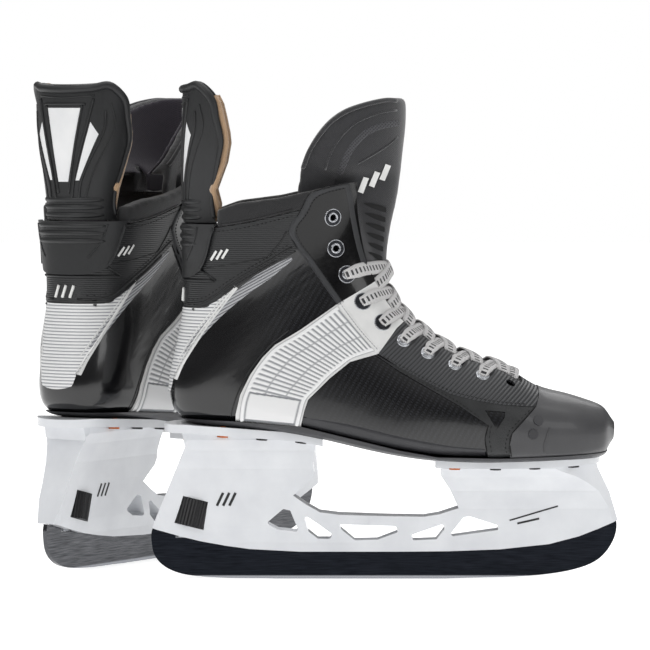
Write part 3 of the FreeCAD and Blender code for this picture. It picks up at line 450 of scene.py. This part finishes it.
def smoothed(points, count):
    """That many places, evenly spaced along a smooth line through the points."""
    points = [Vector(point) for point in points]
    dense = []
    for i in range(len(points) - 1):
        before, after = points[max(i - 1, 0)], points[min(i + 2, len(points) - 1)]
        for step in range(12):
            t = step / 12
            a = points[i] * (2 * t ** 3 - 3 * t ** 2 + 1) + points[i + 1] * (3 * t ** 2 - 2 * t ** 3)
            b = (points[i + 1] - before) * 0.5 * (t ** 3 - 2 * t ** 2 + t)
            c = (after - points[i]) * 0.5 * (t ** 3 - t ** 2)
            dense.append(a + b + c)
    dense.append(points[-1])
    far = [0.0]
    for a, b in zip(dense, dense[1:]):
        far.append(far[-1] + (b - a).length)
    placed, i = [], 0
    for step in range(count):
        want = far[-1] * step / (count - 1)
        while i < len(far) - 2 and far[i + 1] < want:
            i += 1
        span = max(far[i + 1] - far[i], 1e-9)
        placed.append(dense[i].lerp(dense[i + 1], (want - far[i]) / span))
    return placed


def length_of(points):
    """The length of the line through the points."""
    return sum((Vector(b) - Vector(a)).length for a, b in zip(points, points[1:]))


def side_line(path, step, least=4):
    """Places about a step apart along a side view path, on the boot's middle plane."""
    flat = [Vector((x, 0, z)) for x, z in path]
    return smoothed(flat, max(least, int(length_of(flat) / step)) + 1)


def emit(name, shape, finish, body="boots", replaces=(), blends=None, thick=0.0):
    """Both skates' objects from a bmesh in the right skate's millimetres; the bmesh is used up."""
    for side, placing in (("right", RIGHT), ("left", LEFT)):
        mesh = bpy.data.meshes.new(side + "_" + name)
        copy = shape.copy()
        if side == "left":
            bmesh.ops.reverse_faces(copy, faces=copy.faces)
        bmesh.ops.transform(copy, matrix=placing, verts=copy.verts)
        for face in copy.faces:
            face.smooth = True
        copy.to_mesh(mesh)
        copy.free()
        mesh.materials.append(finish_for(finish, side))
        piece = bpy.data.objects.new(side + "_" + name, mesh)
        bpy.context.scene.collection.objects.link(piece)
        if thick:
            wall = piece.modifiers.new("wall", "SOLIDIFY")
            wall.thickness, wall.offset = thick / 1000, -1
        if blends:
            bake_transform(piece)
        else:
            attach(piece, body if body == "boots" else side + "_" + body)
        if replaces:
            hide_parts(*(side + "_" + node_name for node_name in replaces))
    shape.free()


def drape(columns, rows, place):
    """A sheet of columns by rows faces. At fractions (u, v), place gives the corner and its UV."""
    sheet = bmesh.new()
    layer = sheet.loops.layers.uv.new("UVMap")
    bmesh.ops.create_grid(sheet, x_segments=columns, y_segments=rows, size=1.0)
    spots = {}
    for vertex in sheet.verts:
        where, flat = place((vertex.co.x + 1) / 2, (vertex.co.y + 1) / 2)
        vertex.co = where
        spots[vertex] = flat
    for face in sheet.faces:
        for loop in face.loops:
            loop[layer].uv = spots[loop.vert]
    return sheet


def tube(points, radius, sides=8):
    """A round cord of a steady or changing radius through the points."""
    points = [Vector(point) for point in points]
    radii = radius if isinstance(radius, list) else [radius] * len(points)
    cord = bmesh.new()
    rings = []
    for i, point in enumerate(points):
        along = (points[min(i + 1, len(points) - 1)] - points[max(i - 1, 0)]).normalized()
        turn = along.to_track_quat("Z", "Y").to_matrix().to_4x4()
        ring = bmesh.ops.create_circle(cord, segments=sides, radius=radii[i],
                                       matrix=Matrix.Translation(point) @ turn)["verts"]
        if rings:
            first = min(range(sides), key=lambda k: (ring[k].co - rings[-1][0].co).length)
            ring = ring[first:] + ring[:first]
            if (ring[1].co - rings[-1][1].co).length > (ring[-1].co - rings[-1][1].co).length:
                ring = ring[:1] + ring[:0:-1]
        rings.append(ring)
    for near, far in zip(rings, rings[1:]):
        bmesh.ops.bridge_loops(cord, edges=[edge for edge in cord.edges
                                            if all(v in near for v in edge.verts)
                                            or all(v in far for v in edge.verts)])
    for ring in (rings[0], rings[-1]):
        bmesh.ops.contextual_create(cord, geom=ring)
    bmesh.ops.recalc_face_normals(cord, faces=cord.faces)
    return cord


def join(shapes):
    """One bmesh of several, which are used up."""
    whole = bmesh.new()
    whole.loops.layers.uv.new("UVMap")
    for shape in shapes:
        holder = bpy.data.meshes.new("part")
        shape.to_mesh(holder)
        shape.free()
        whole.from_mesh(holder)
        bpy.data.meshes.remove(holder)
    return whole


def box_object(low, high):
    """A box between two corners in the right skate's millimetres, to cut with."""
    low, high = Vector(low), Vector(high)
    box = bmesh.new()
    bmesh.ops.create_cube(box, size=1.0)
    bmesh.ops.scale(box, vec=high - low, verts=box.verts)
    bmesh.ops.translate(box, vec=(low + high) / 2, verts=box.verts)
    bmesh.ops.transform(box, matrix=RIGHT, verts=box.verts)
    room = bpy.data.objects.new("room", bpy.data.meshes.new("room"))
    box.to_mesh(room.data)
    box.free()
    bpy.context.scene.collection.objects.link(room)
    return room


def soft_copy(pieces, voxel, rounds=3, swell=0.0, cut=None):
    """The right skate's soft nodes as one rounded cushion: remeshed, cut by a box, smoothed, swollen."""
    shape = bmesh.new()
    for piece in pieces:
        shape.from_mesh(NODES["right_" + piece].data)
    bmesh.ops.remove_doubles(shape, verts=shape.verts, dist=1e-5)
    mesh = bpy.data.meshes.new("soft")
    shape.to_mesh(mesh)
    shape.free()
    cushion = bpy.data.objects.new("soft", mesh)
    bpy.context.scene.collection.objects.link(cushion)
    remesh = cushion.modifiers.new("remesh", "REMESH")
    remesh.mode = "VOXEL"
    remesh.voxel_size = voxel / 1000
    if cut:
        room = box_object(*cut)
        opened = cushion.modifiers.new("opened", "BOOLEAN")
        opened.object, opened.operation, opened.solver = room, "DIFFERENCE", "EXACT"
    made = bpy.data.meshes.new_from_object(cushion.evaluated_get(bpy.context.evaluated_depsgraph_get()))
    bpy.data.objects.remove(cushion)
    if cut:
        bpy.data.objects.remove(room)
    shape = bmesh.new()
    shape.from_mesh(made)
    bpy.data.meshes.remove(made)
    bmesh.ops.transform(shape, matrix=RIGHT.inverted(), verts=shape.verts)
    for _ in range(rounds):
        bmesh.ops.smooth_vert(shape, verts=shape.verts, factor=0.5, use_axis_x=True, use_axis_y=True,
                              use_axis_z=True)
    shape.normal_update()
    if swell:
        for vertex, normal in [(v, v.normal.copy()) for v in shape.verts]:
            vertex.co += normal * swell
    return shape


PANELS = skin_of("shell", "ankle_panel", "collar", "heel_insert", "side_stripes", "upper_facings",
                 "middle_facings", "lower_facing", "toe_strap", "toe_cap", "outsole")
FRONT = skin_of("upper_facings", "middle_facings", "lower_facing", "tongue_lower", "tongue_flap",
                "toe_cap")

# ---- padded pieces: tongue, collar, linings -----------------------------------------------------
TONGUE_FOLD = ("tongue", (158.5, 0, 236), (158.5, 0, 252))  # the heights the padding was meant to bend between; emit only bakes the tongue padding in place and puts it on no body, nothing bends it
SHIN_ROOM = ((108.0, -14.4, 247.0), (124.0, 14.4, 270.0))  # nothing spans the tongue behind its front
emit("collar_padding", soft_copy(["collar"], 1.6, 3, 0.3), "collar", replaces=("collar",))
emit("boot_lining", soft_copy(["liner"], 1.8, 2), "lining", replaces=("liner",))
emit("insole", soft_copy(["footbed"], 1.8, 3), "lining", replaces=("footbed",))
emit("guard_lining", soft_copy(["guard_felt"], 1.4, 2), "tan_felt", "guard", replaces=("guard_felt",))
emit("tongue_padding", soft_copy(["tongue_lower", "tongue_flap"], 1.8, 4, 0.3,
                                 cut=SHIN_ROOM), "tongue_felt",
     replaces=("tongue_lower", "tongue_flap"), blends=TONGUE_FOLD)
emit("tongue_lining", soft_copy(["tongue_felt"], 1.4, 2), "lining", "tongue", replaces=("tongue_felt",))

# ---- laces and eyelets --------------------------------------------------------------------------
EYELETS = [(117.5, 233.7), (119.4, 214.0), (126.4, 197.5), (136.5, 180.3), (149.2, 167.0),
           (162.6, 155.6), (177.8, 147.6), (195.0, 140.0), (212.7, 133.6), (230.5, 128.6)]
FACINGS = skin_of("upper_facings", "middle_facings", "lower_facing")
SEAT_RADIUS = 4.4  # of the ring on the facing that an eyelet's seat is taken from
THROAT = 21.0  # half the gap between the facings
LACE_WIDTH = 8.4
LACE_THICK = 1.1
LACED_FROM = 2  # the two top pairs of eyelets stay open
LACE_STEPS = 28


def seat_at(x, z, hand):
    """Where an eyelet sits on its facing, from the facing all round its hole, and the normal."""
    around = [on_side(FACINGS, x + SEAT_RADIUS * math.cos(turn), z + SEAT_RADIUS * math.sin(turn), hand)
              for turn in (0.4, 2.0, 3.5, 5.1)]
    return (sum((place for place, _ in around), Vector()) / 4,
            sum((normal for _, normal in around), Vector()).normalized())


def crossing(row, hand, rise):
    """The middle line of one lace crossing, from inside its eyelet to under the facing opposite."""
    (x, z), (x0, z0) = EYELETS[row], EYELETS[row - 1]
    x2, z2 = EYELETS[min(row + 1, len(EYELETS) - 1)]
    seat, normal = seat_at(x, z, hand)
    ahead = Vector((x - x0, 0, z - z0)).normalized()
    up = Vector((-ahead.z, 0, ahead.x))
    spread = 0.7 * math.hypot(x2 - x, z2 - z)
    reach = abs(seat.y)
    line = [seat - normal * 1.5, seat + normal * 1.6]
    for stop in (reach * 0.55 + THROAT * 0.45, THROAT - 1.5, 13.0, 6.0, 0.0, -6.0, -13.0, 1.2 - THROAT):
        base = seat + ahead * (spread * (reach - stop) / (reach + THROAT))
        start_at = Vector((base.x, hand * stop, base.z)) + up * 60
        place = FRONT.ray_cast(start_at, -up)[0]
        inside = rise if abs(stop) < THROAT - 2 else 0.0
        line.append(place + up * (1.5 + inside))
    return line, ahead * hand


def lace_band(row, hand, rise):
    """One crossing as a flat band, pinched at its eyelet and curled down at its edges."""
    line, across = crossing(row, hand, rise)
    middle = smoothed(line, LACE_STEPS + 1)
    long = length_of(middle)

    def place(u, v):
        i = min(round(v * LACE_STEPS), LACE_STEPS)
        before, after = middle[max(i - 1, 0)], middle[min(i + 1, LACE_STEPS)]
        out = (after - before).normalized().cross(across)
        if out.x + out.z < 0 and abs(middle[i].y) < THROAT:
            out = -out
        width = LACE_WIDTH * (0.55 + 0.45 * min(1.0, v * 7))
        flat = (u - 0.5) * width
        curl = -0.35 * (2 * u - 1) ** 4
        return middle[i] + across * flat + out * curl, (flat, v * long)
    return drape(6, LACE_STEPS, place)


crossings = [lace_band(row, hand, rise) for hand, rise in ((-1, 0.0), (1, 1.5))
             for row in range(LACED_FROM, len(EYELETS))]
emit("flat_lace", join(crossings), "lace", replaces=("lace",), thick=LACE_THICK)


def ring(seat, normal, profile):
    """A turned ring on a seat: its profile is (radius, height) from the inner edge outwards."""
    turned = bmesh.new()
    row = [turned.verts.new((radius, 0, height)) for radius, height in profile]
    edges = [turned.edges.new(pair) for pair in zip(row, row[1:])]
    bmesh.ops.spin(turned, geom=row + edges, cent=(0, 0, 0), axis=(0, 0, 1), angle=math.tau,
                   steps=28, use_merge=True)
    bmesh.ops.remove_doubles(turned, verts=turned.verts, dist=0.001)
    bmesh.ops.recalc_face_normals(turned, faces=turned.faces)
    turn = normal.to_track_quat("Z", "Y").to_matrix().to_4x4()
    bmesh.ops.transform(turned, matrix=Matrix.Translation(seat) @ turn, verts=turned.verts)
    return turned


LIP = [(2.0, -1.6), (1.9, 0.3), (2.2, 0.8), (2.8, 1.0), (3.3, 0.75), (3.5, 0.2), (3.5, -0.6)]
FLANGE = [(3.3, -0.4), (3.4, 0.5), (3.9, 0.72), (4.6, 0.6), (5.1, 0.25), (5.3, -0.5)]
EDGE = [(5.0, -0.4), (5.1, 0.35), (5.45, 0.42), (5.75, 0.1), (5.8, -0.5)]
DARK_LIPS = (3, 4)  # pairs whose lip is dark too
EDGED = 5  # this many pairs from the top have a dark flange with a bright edge
rings = {"silver": [], "gunmetal": []}
for number, (x, z) in enumerate(EYELETS):
    for hand in BOTH:
        seat, normal = seat_at(x, z, hand)
        rings["gunmetal" if number in DARK_LIPS else "silver"].append(ring(seat, normal, LIP))
        if number < EDGED:
            rings["gunmetal"].append(ring(seat, normal, FLANGE))
            rings["silver"].append(ring(seat, normal, EDGE))
        else:
            rings["silver"].append(ring(seat, normal, [(r * 0.92, h) for r, h in FLANGE]))
emit("eyelet_lips", join(rings["silver"]), "silver", replaces=("eyelets",))
emit("eyelet_flanges", join(rings["gunmetal"]), "gunmetal")


# ---- sewn and moulded detail on the boot's sides ------------------------------------------------
def both_sheets(columns, rows, place_on):
    """One sheet for each hand of the boot, where place_on(hand) says how the sheet is draped."""
    sheets = []
    for hand in BOTH:
        sheet = drape(columns, rows, place_on(hand))
        if hand > 0:
            bmesh.ops.reverse_faces(sheet, faces=sheet.faces)
        sheets.append(sheet)
    return join(sheets)


def ribbon(skin, path, width, rise=0.5, lift=0.05, step=2.0):
    """Flat bindings that follow a side view path on each hand of the boot, crowned across."""
    line = side_line(path, step)
    count = len(line) - 1

    def place_on(hand):
        def place(u, v):
            i = round(v * count)
            along = (line[min(i + 1, count)] - line[max(i - 1, 0)]).normalized()
            wide = width(v) if callable(width) else width
            spot = line[i] + Vector((-along.z, 0, along.x)) * ((u - 0.5) * wide)
            crown = rise * (1 - (2 * u - 1) ** 6)
            where, _ = on_side(skin, spot.x, spot.z, hand, lift + crown)
            return where, ((u - 0.5) * wide, v * count * step)
        return place
    return both_sheets(8, count, place_on)


def piping(skin, path, radius, lift=0.1):
    """Round cords that follow a side view path on each hand of the boot."""
    line = side_line(path, 2.5)
    return join([tube([on_side(skin, spot.x, spot.z, hand, lift)[0] for spot in line], radius, 6)
                 for hand in BOTH])


def stitches(skin, path, pitch=2.7, lift=0.12):
    """A row of thread stitches along a side view path, each a small rounded grain."""
    half_long, half_thick = 0.95, 0.26
    line = side_line(path, pitch, 2)
    grains = []
    for hand in BOTH:
        for spot, following in zip(line, line[1:]):
            here, out = on_side(skin, spot.x, spot.z, hand, lift)
            there, _ = on_side(skin, following.x, following.z, hand, lift)
            if (there - here).length > 2.5 * pitch:
                continue
            along = (there - here).normalized()
            turn = Matrix((along, along.cross(out).normalized(), out)).transposed().to_4x4()
            grain = bmesh.new()
            bmesh.ops.create_icosphere(grain, subdivisions=1, radius=1.0)
            size = Matrix.Diagonal((half_long, half_thick, half_thick, 1))
            bmesh.ops.transform(grain, matrix=Matrix.Translation(here) @ turn @ size, verts=grain.verts)
            grains.append(grain)
    return join(grains)


emit("facing_binding", join([ribbon(PANELS, [(121.6, 179.6), (106.0, 202.0), (91.6, 223.4), (98.8, 237.2),
                                             (106.6, 249.2), (127.0, 255.2)], 4.0, 0.55),
                             ribbon(PANELS, [(126.4, 254.6), (128.6, 244.0), (130.4, 232.4),
                                             (133.6, 217.0), (137.6, 203.0)], 3.4, 0.5)]),
     "grey_binding")
emit("facing_stitches", stitches(PANELS, [(123.6, 180.6), (108.4, 202.8), (94.6, 223.4), (101.0, 236.2),
                                          (108.2, 247.2), (126.4, 252.6)], 2.2, lift=0.25),
     "black_thread")
emit("white_facing_edge", ribbon(PANELS, [(122.0, 178.6), (134.0, 162.6), (146.6, 148.6)], 3.4, 0.45),
     "white_leather")
emit("white_facing_stitches", stitches(PANELS, [(122.2, 178.8), (134.1, 162.8), (146.4, 149.2)], 2.0,
                                       lift=0.6), "grey_thread")
emit("ankle_piping", join([piping(PANELS, [(18.0, 175.8), (33.2, 176.2), (42.7, 180.6), (55.4, 190.1),
                                           (77.6, 203.5), (93.6, 212.7)], 0.75),
                           piping(PANELS, [(20.0, 178.6), (32.6, 179.2), (41.4, 183.4), (54.0, 192.6),
                                           (76.4, 206.0), (91.4, 215.0)], 0.6)]), "black_leather")
emit("ankle_stitches", join([stitches(PANELS, [(20.0, 181.0), (32.0, 181.6), (40.4, 185.6),
                                               (53.0, 194.8), (75.4, 208.2), (90.4, 217.0)]),
                             stitches(PANELS, [(34.0, 224.0), (50.0, 225.6), (66.0, 228.4),
                                               (94.0, 235.4)])]), "black_thread")
STRAP_THREADS = [
    [(150.0, 145.6), (164.0, 138.0), (180.0, 129.8), (192.0, 124.4), (207.0, 120.2), (223.0, 117.4),
     (241.0, 115.6)],
    [(162.0, 135.2), (179.0, 126.9), (196.0, 117.8), (211.5, 106.6)],
    [(217.4, 101.6), (216.4, 94.0), (218.4, 83.0)],
    [(229.0, 99.0), (226.6, 90.6), (227.8, 83.0)],
    [(241.4, 111.4), (234.6, 105.0), (229.0, 99.0)]]
STRAP_CORDS = [[(216.0, 102.6), (213.8, 94.0), (215.4, 83.0)],
               [(246.0, 114.4), (231.4, 98.0), (229.4, 90.0), (230.4, 83.0)]]
emit("strap_stitches", join([stitches(PANELS, path, lift=0.35) for path in STRAP_THREADS]
                            + [piping(PANELS, path, 0.5) for path in STRAP_CORDS]), "black_thread")
emit("quarter_seam", piping(PANELS, [(89.6, 162.3), (76.3, 150.9), (64.9, 137.0), (57.3, 123.1),
                                     (53.5, 111.7), (52.2, 105.0)], 0.45, lift=0.0), "black_leather")
emit("heel_border", join([ribbon(PANELS, [(56.0, 189.8), (36.8, 164.6), (27.8, 151.4), (20.8, 139.8),
                                          (16.6, 130.0)], 3.0, 0.7),
                          piping(PANELS, [(49.0, 184.6), (33.4, 165.4), (24.8, 152.8), (18.6, 142.2)],
                                 0.4)]), "white_leather")


def gore_width(v):
    """The grey gore widens towards the ankle and then runs to a point."""
    return 3.4 + 5.0 * v if v < 0.8 else 7.4 - 26 * (v - 0.8)


emit("heel_gore", ribbon(PANELS, [(24.0, 147.0), (32.8, 159.4), (46.0, 174.0), (59.0, 185.6),
                                  (71.0, 194.8), (81.0, 201.4), (91.4, 207.8)], gore_width, 0.3),
     "grey_inset")
emit("ankle_seams", join([piping(PANELS, [(37.0, 201.4), (58.0, 205.0), (76.0, 208.4)], 0.3),
                          piping(PANELS, [(76.0, 208.4), (84.0, 218.0), (88.0, 225.0)], 0.45),
                          piping(PANELS, [(36.0, 228.4), (52.0, 229.8), (66.0, 232.4), (92.0, 239.0)],
                                 0.6)]), "black_leather")


def panel(skin, upper, lower, lift):
    """A thin overlay between two side view lines, on each hand of the boot."""
    top = side_line(upper, 3, 6)
    count = len(top) - 1
    bottom = smoothed([(x, 0, z) for x, z in lower], count + 1)

    def place_on(hand):
        def place(u, v):
            spot = bottom[round(u * count)].lerp(top[round(u * count)], v)
            edge = min(1.0, 8 * v, 8 * (1 - v))
            return on_side(skin, spot.x, spot.z, hand, lift * edge)[0], (spot.x, spot.z)
        return place
    return both_sheets(count, 10, place_on)


emit("lower_band", panel(PANELS,
                         [(98.2, 107.0), (128.0, 102.4), (160.0, 95.0), (191.0, 89.4), (213.6, 87.6)],
                         [(98.2, 101.4), (128.0, 94.2), (160.0, 86.8), (191.0, 82.4), (214.4, 82.0)], 0.35),
     "outsole")
emit("toe_crease", piping(PANELS, [(254.5, 101.0), (250.8, 89.0), (252.4, 84.0)], 0.35), "satin_cap")

# ---- the ribbed side stripe ---------------------------------------------------------------------
STRIPE_REAR = [(58.0, 104.4), (58.6, 112.0), (60.6, 121.0), (66.4, 133.6), (73.8, 144.2),
               (81.6, 152.0), (97.2, 161.4), (119.6, 177.4)]
STRIPE_FRONT = [(96.0, 101.6), (97.6, 108.0), (100.6, 118.2), (107.2, 125.2), (114.6, 132.8),
                (121.6, 138.6), (130.4, 144.8), (143.8, 149.0)]


STRIPE_ROWS, STRIPE_COLUMNS = 240, 36
RIB_PITCH = 3.0
RIB_HEIGHT = 0.75
FRAME = 2.6  # width of the raised frame round the ribs


def stripe_relief(u, wide, along):
    """How far the stripe stands proud at a fraction across it and a distance up it."""
    edge = min(u, 1 - u) * wide
    ribs_from = 17.0 + 3.0 * u
    if edge < FRAME:
        return RIB_HEIGHT * (1 - abs(edge / (FRAME / 2) - 1) ** 3)
    if along > ribs_from:
        rib = 0.5 + 0.5 * math.cos(math.tau * along / RIB_PITCH)
        return RIB_HEIGHT * rib if abs((u * 3.0) % 1.0 - 0.5) < 0.44 else 0.1
    return 0.45 if 1.2 < ribs_from - along and along > 1.5 and edge > 3.6 else -0.1


def stripe_place(hand):
    """How the stripe is draped on one hand of the boot."""
    rear = smoothed([(x, 0, z) for x, z in STRIPE_REAR], STRIPE_ROWS + 1)
    front = smoothed([(x, 0, z) for x, z in STRIPE_FRONT], STRIPE_ROWS + 1)
    long = 0.5 * (length_of(rear) + length_of(front))

    def place(u, v):
        i = round(v * STRIPE_ROWS)
        spot = rear[i].lerp(front[i], u)
        relief = stripe_relief(u, (front[i] - rear[i]).length, v * long)
        where, _ = on_side(PANELS, spot.x, spot.z, hand, 0.25 + relief)
        # the UV's first number carries the relief, which the stripe's finish turns into painted shade in
        # the hollows
        return where, (min(max(relief, 0.0), 1.0), v * long)
    return place


emit("ribbed_stripe", both_sheets(STRIPE_COLUMNS, STRIPE_ROWS, stripe_place), "stripe")

# ---- tendon guard: rolled rim, frame of the inserts, pleats at the neck -------------------------
GUARD = skin_of("tendon_guard", "guard_inserts")
NECK = skin_of("guard_base", "tendon_guard")
HEEL = skin_of("guard_base", "ankle_panel", "heel_insert", "collar")


def behind(skin, angle, z, lift=0.0, centre=52.0):
    """The place at the back of the skin at a height, by its angle from straight behind, in degrees."""
    turn = math.radians(angle)
    out = Vector((-math.cos(turn), math.sin(turn), 0))
    middle = Vector((centre, 0, z))
    place = skin.ray_cast(middle + out * 100, -out)[0]
    if place is None:
        place = skin.find_nearest(middle + out * 34)[0]
    return place + out * lift


def angle_at(y):
    """The angle from straight behind at which the guard is that far to one side."""
    half_wide, half_deep = 37.0, 32.0
    return math.degrees(math.atan2(y, half_deep * math.sqrt(max(0.05, 1 - (y / half_wide) ** 2))))


edge = [(42.2, 233.0), (40.6, 241.0), (40.8, 250.0), (44.2, 268.0), (46.4, 280.0), (45.8, 287.0),
        (43.3, 297.0), (42.0, 305.0), (39.4, 310.4), (34.6, 315.6), (30.6, 317.8)]
rim = [on_side(GUARD, x, z, -1)[0] for x, z in edge]
rim += [behind(GUARD, angle, 316.6 - 1.6 * math.cos(math.radians(1.8 * angle)))
        for angle in range(-40, 41, 10)]
rim += [on_side(GUARD, x, z, 1)[0] for x, z in reversed(edge)]
rim = smoothed(rim, 150)
emit("guard_rim", tube(rim, [1.3 + 1.3 * min(1.0, max(0.0, (p.z - 262) / 50)) for p in rim], 10), "guard",
     "guard")
felt_path = [(39.5, 231.0), (40.4, 241.0), (41.2, 250.0), (44.6, 268.0), (46.8, 280.0), (46.0, 287.0),
             (43.6, 297.0), (41.6, 305.0), (38.6, 310.6)]
emit("felt_edge", join([tube([on_side(GUARD, x, z, hand, -2.6)[0] + Vector((2.6, 0, 0)) for x, z in
                              felt_path], 2.3) for hand in BOTH]), "tan_felt", "guard")


def back_line(points, radius):
    """A cord over the guard's back through places given as (y, z) seen from behind."""
    flat = [Vector((0, y, z)) for y, z in points]
    line = smoothed(flat, max(6, int(length_of(flat) / 2.2)))
    return tube([behind(GUARD, angle_at(p.y), p.z) for p in line], radius, 7)


SIDE_FRAMES = [
    ([(14.6, 304.6), (9.8, 280.0), (5.2, 253.0), (4.4, 247.5)], 0.9),
    ([(21.4, 309.0), (17.4, 292.0), (11.0, 268.0), (8.2, 254.0), (6.6, 243.5)], 1.0),
    ([(27.4, 301.0), (26.0, 286.0), (14.0, 257.0), (12.0, 243.5)], 0.9),
    ([(30.0, 305.5), (31.0, 288.0), (20.0, 258.0), (16.0, 242.0)], 0.6)]
frames = [back_line([(-16.6, 305.5), (16.6, 305.5)], 0.9),
          back_line([(-22.0, 311.0), (0.0, 309.6), (22.0, 311.0)], 0.55)]
frames += [back_line([(hand * y, z) for y, z in path], radius)
           for hand in BOTH for path, radius in SIDE_FRAMES]
emit("guard_frames", join(frames), "guard", "guard")


def pleat(z):
    """One moulded pleat across the neck of the guard, thinning out to its ends."""
    thick = 2.1
    places = [behind(NECK, angle, z, -0.9) for angle in range(-52, 53, 4)]
    middle = len(places) // 2
    radii = [thick * (1 - (abs(i - middle) / (middle + 1.5)) ** 6) for i in range(len(places))]
    return tube(places, radii, 10)


emit("upper_pleats", join([pleat(z) for z in (233.4, 238.6, 243.4)]), "guard", "guard")
emit("lower_pleats", join([pleat(z) for z in (226.6, 221.6, 216.6)]), "guard")
HEEL_CENTRE = 60.0  # x of the middle that places round the heel are looked for from
corner_right, corner_left = (on_side(HEEL, 33.6, 200.4, hand, 0.2)[0] for hand in BOTH)
base_edge = [behind(HEEL, angle, 193.4, 0.2, HEEL_CENTRE) for angle in range(-60, 61, 6)]
emit("base_edge", join([tube([corner_right] + base_edge + [corner_left], 0.9),
                        piping(NECK, [(33.2, 201.0), (36.3, 208.5), (39.0, 219.3), (40.8, 227.0)], 0.8),
                        piping(NECK, [(24.0, 206.0), (29.0, 218.0), (31.0, 227.5)], 0.55)]), "guard")


def bar(skin, path, width, lift=0.4):
    """A plain printed bar."""
    return ribbon(skin, path, width, 0.15, lift=lift, step=1.2)


TOP = skin_of("tongue_flap")
HOLDER = skin_of("holder")
# plain slanted bars stand where a maker's badges would be
emit("tongue_mark", join([bar(TOP, [(x - 2.2, z - 5.4), (x + 1.6, z + 4.6)], 3.6, 1.0)
                          for x, z in ((137.0, 254.6), (144.0, 258.4), (150.6, 262.6))]),
     "white_thread", "tongue")
emit("ankle_mark", join([bar(PANELS, [(x, z), (x + 3.6, z + 6.0)], 1.5)
                         for x, z in ((40.0, 206.6), (43.6, 207.2), (47.2, 207.8))]), "white_thread")
marks = []
for angle in (-9, 0, 9):
    low = behind(HEEL, angle - 2, 179.6, 0.3, HEEL_CENTRE)
    high = behind(HEEL, angle + 2, 187.6, 0.3, HEEL_CENTRE)
    marks.append(tube([low.lerp(high, i / 6) for i in range(7)], 1.0, 6))
emit("heel_mark", join(marks), "white_thread")
emit("holder_marks", join([bar(HOLDER, [(x, 48.0), (x + 4.0, 56.4)], 1.7, 0.1) for x in (43.0, 47.0, 51.0)]
                          + [bar(HOLDER, [(231.0, 38.4), (262.0, 47.8)], 1.0, 0.1),
                             bar(HOLDER, [(236.0, 36.4), (250.0, 39.6)], 1.3, 0.1)]), "black_plastic")

# ---- tongue: piped rim, mesh band and slots -----------------------------------------------------
rim_side = [(98.4, 265.0), (102.4, 275.4), (108.8, 285.8), (116.4, 294.4), (125.8, 300.8),
            (138.1, 305.2), (150.9, 308.0), (158.0, 307.8)]
emit("tongue_rim", join([tube([on_side(TOP, p.x, p.z, hand, -0.2)[0] for p in
                               smoothed([(x, 0, z) for x, z in rim_side], 60)], 1.5)
                         for hand in BOTH]), "tongue_felt", "tongue")
band_side = [(121.6, 261.0), (124.1, 267.7), (129.0, 277.5), (137.1, 286.5), (146.9, 291.4),
             (159.0, 293.7)]
emit("tongue_band", ribbon(TOP, band_side, 4.6, 0.7), "mesh", "tongue")
emit("tongue_seam", join([piping(TOP, [(112.6, 264.0), (115.0, 272.0), (121.0, 283.0), (131.0, 293.0),
                                       (146.0, 299.6), (158.0, 301.6)], 0.7),
                          piping(TOP, [(133.0, 268.0), (142.0, 273.0), (151.0, 278.6), (158.6, 284.6)],
                                 0.8)]), "tongue_felt", "tongue")
LOWER = skin_of("tongue_lower")
SLOT_COUNT, SLOT_PITCH = 7, 6.3


def slot_place(number):
    """Where one pair of slots lies: level rows down the tongue, each a little shorter."""
    height = 240.0 - SLOT_PITCH * number
    tail, nose = 137.0 + 0.5 * number, 151.0 - 0.5 * number

    def place_on(hand):
        def place(u, v):
            half = 1.7 * math.sin(math.pi * min(1.0, v * 0.62 + 0.02)) ** 0.8
            x = tail + (nose - tail) * v
            z = height + 2.4 - 4.4 * v + (2 * u - 1) * half
            return on_side(LOWER, x, z, hand, 0.95)[0], (u, v)
        return place
    return place_on


# each slot is a flat near-black sheet on the tongue: painted shade for the inside of the cut
emit("tongue_slots", join([both_sheets(5, 12, slot_place(number)) for number in range(SLOT_COUNT)]),
     "slot_black")

# ---- floor --------------------------------------------------------------------------------------
floor_shape = bmesh.new()
bmesh.ops.create_grid(floor_shape, x_segments=1, y_segments=1, size=6.0)
floor_mesh = bpy.data.meshes.new("floor")
floor_shape.to_mesh(floor_mesh)
floor_shape.free()
floor = bpy.data.objects.new("floor", floor_mesh)
bpy.context.scene.collection.objects.link(floor)
# matt white acrylic sheet, lit a little from below
floor_finish, *_ = start("studio_acrylic", "#d8d8d8", 0.7, Emission_Color=(1, 1, 1, 1),
                           Emission_Strength=0.75)
floor_mesh.materials.append(floor_finish)
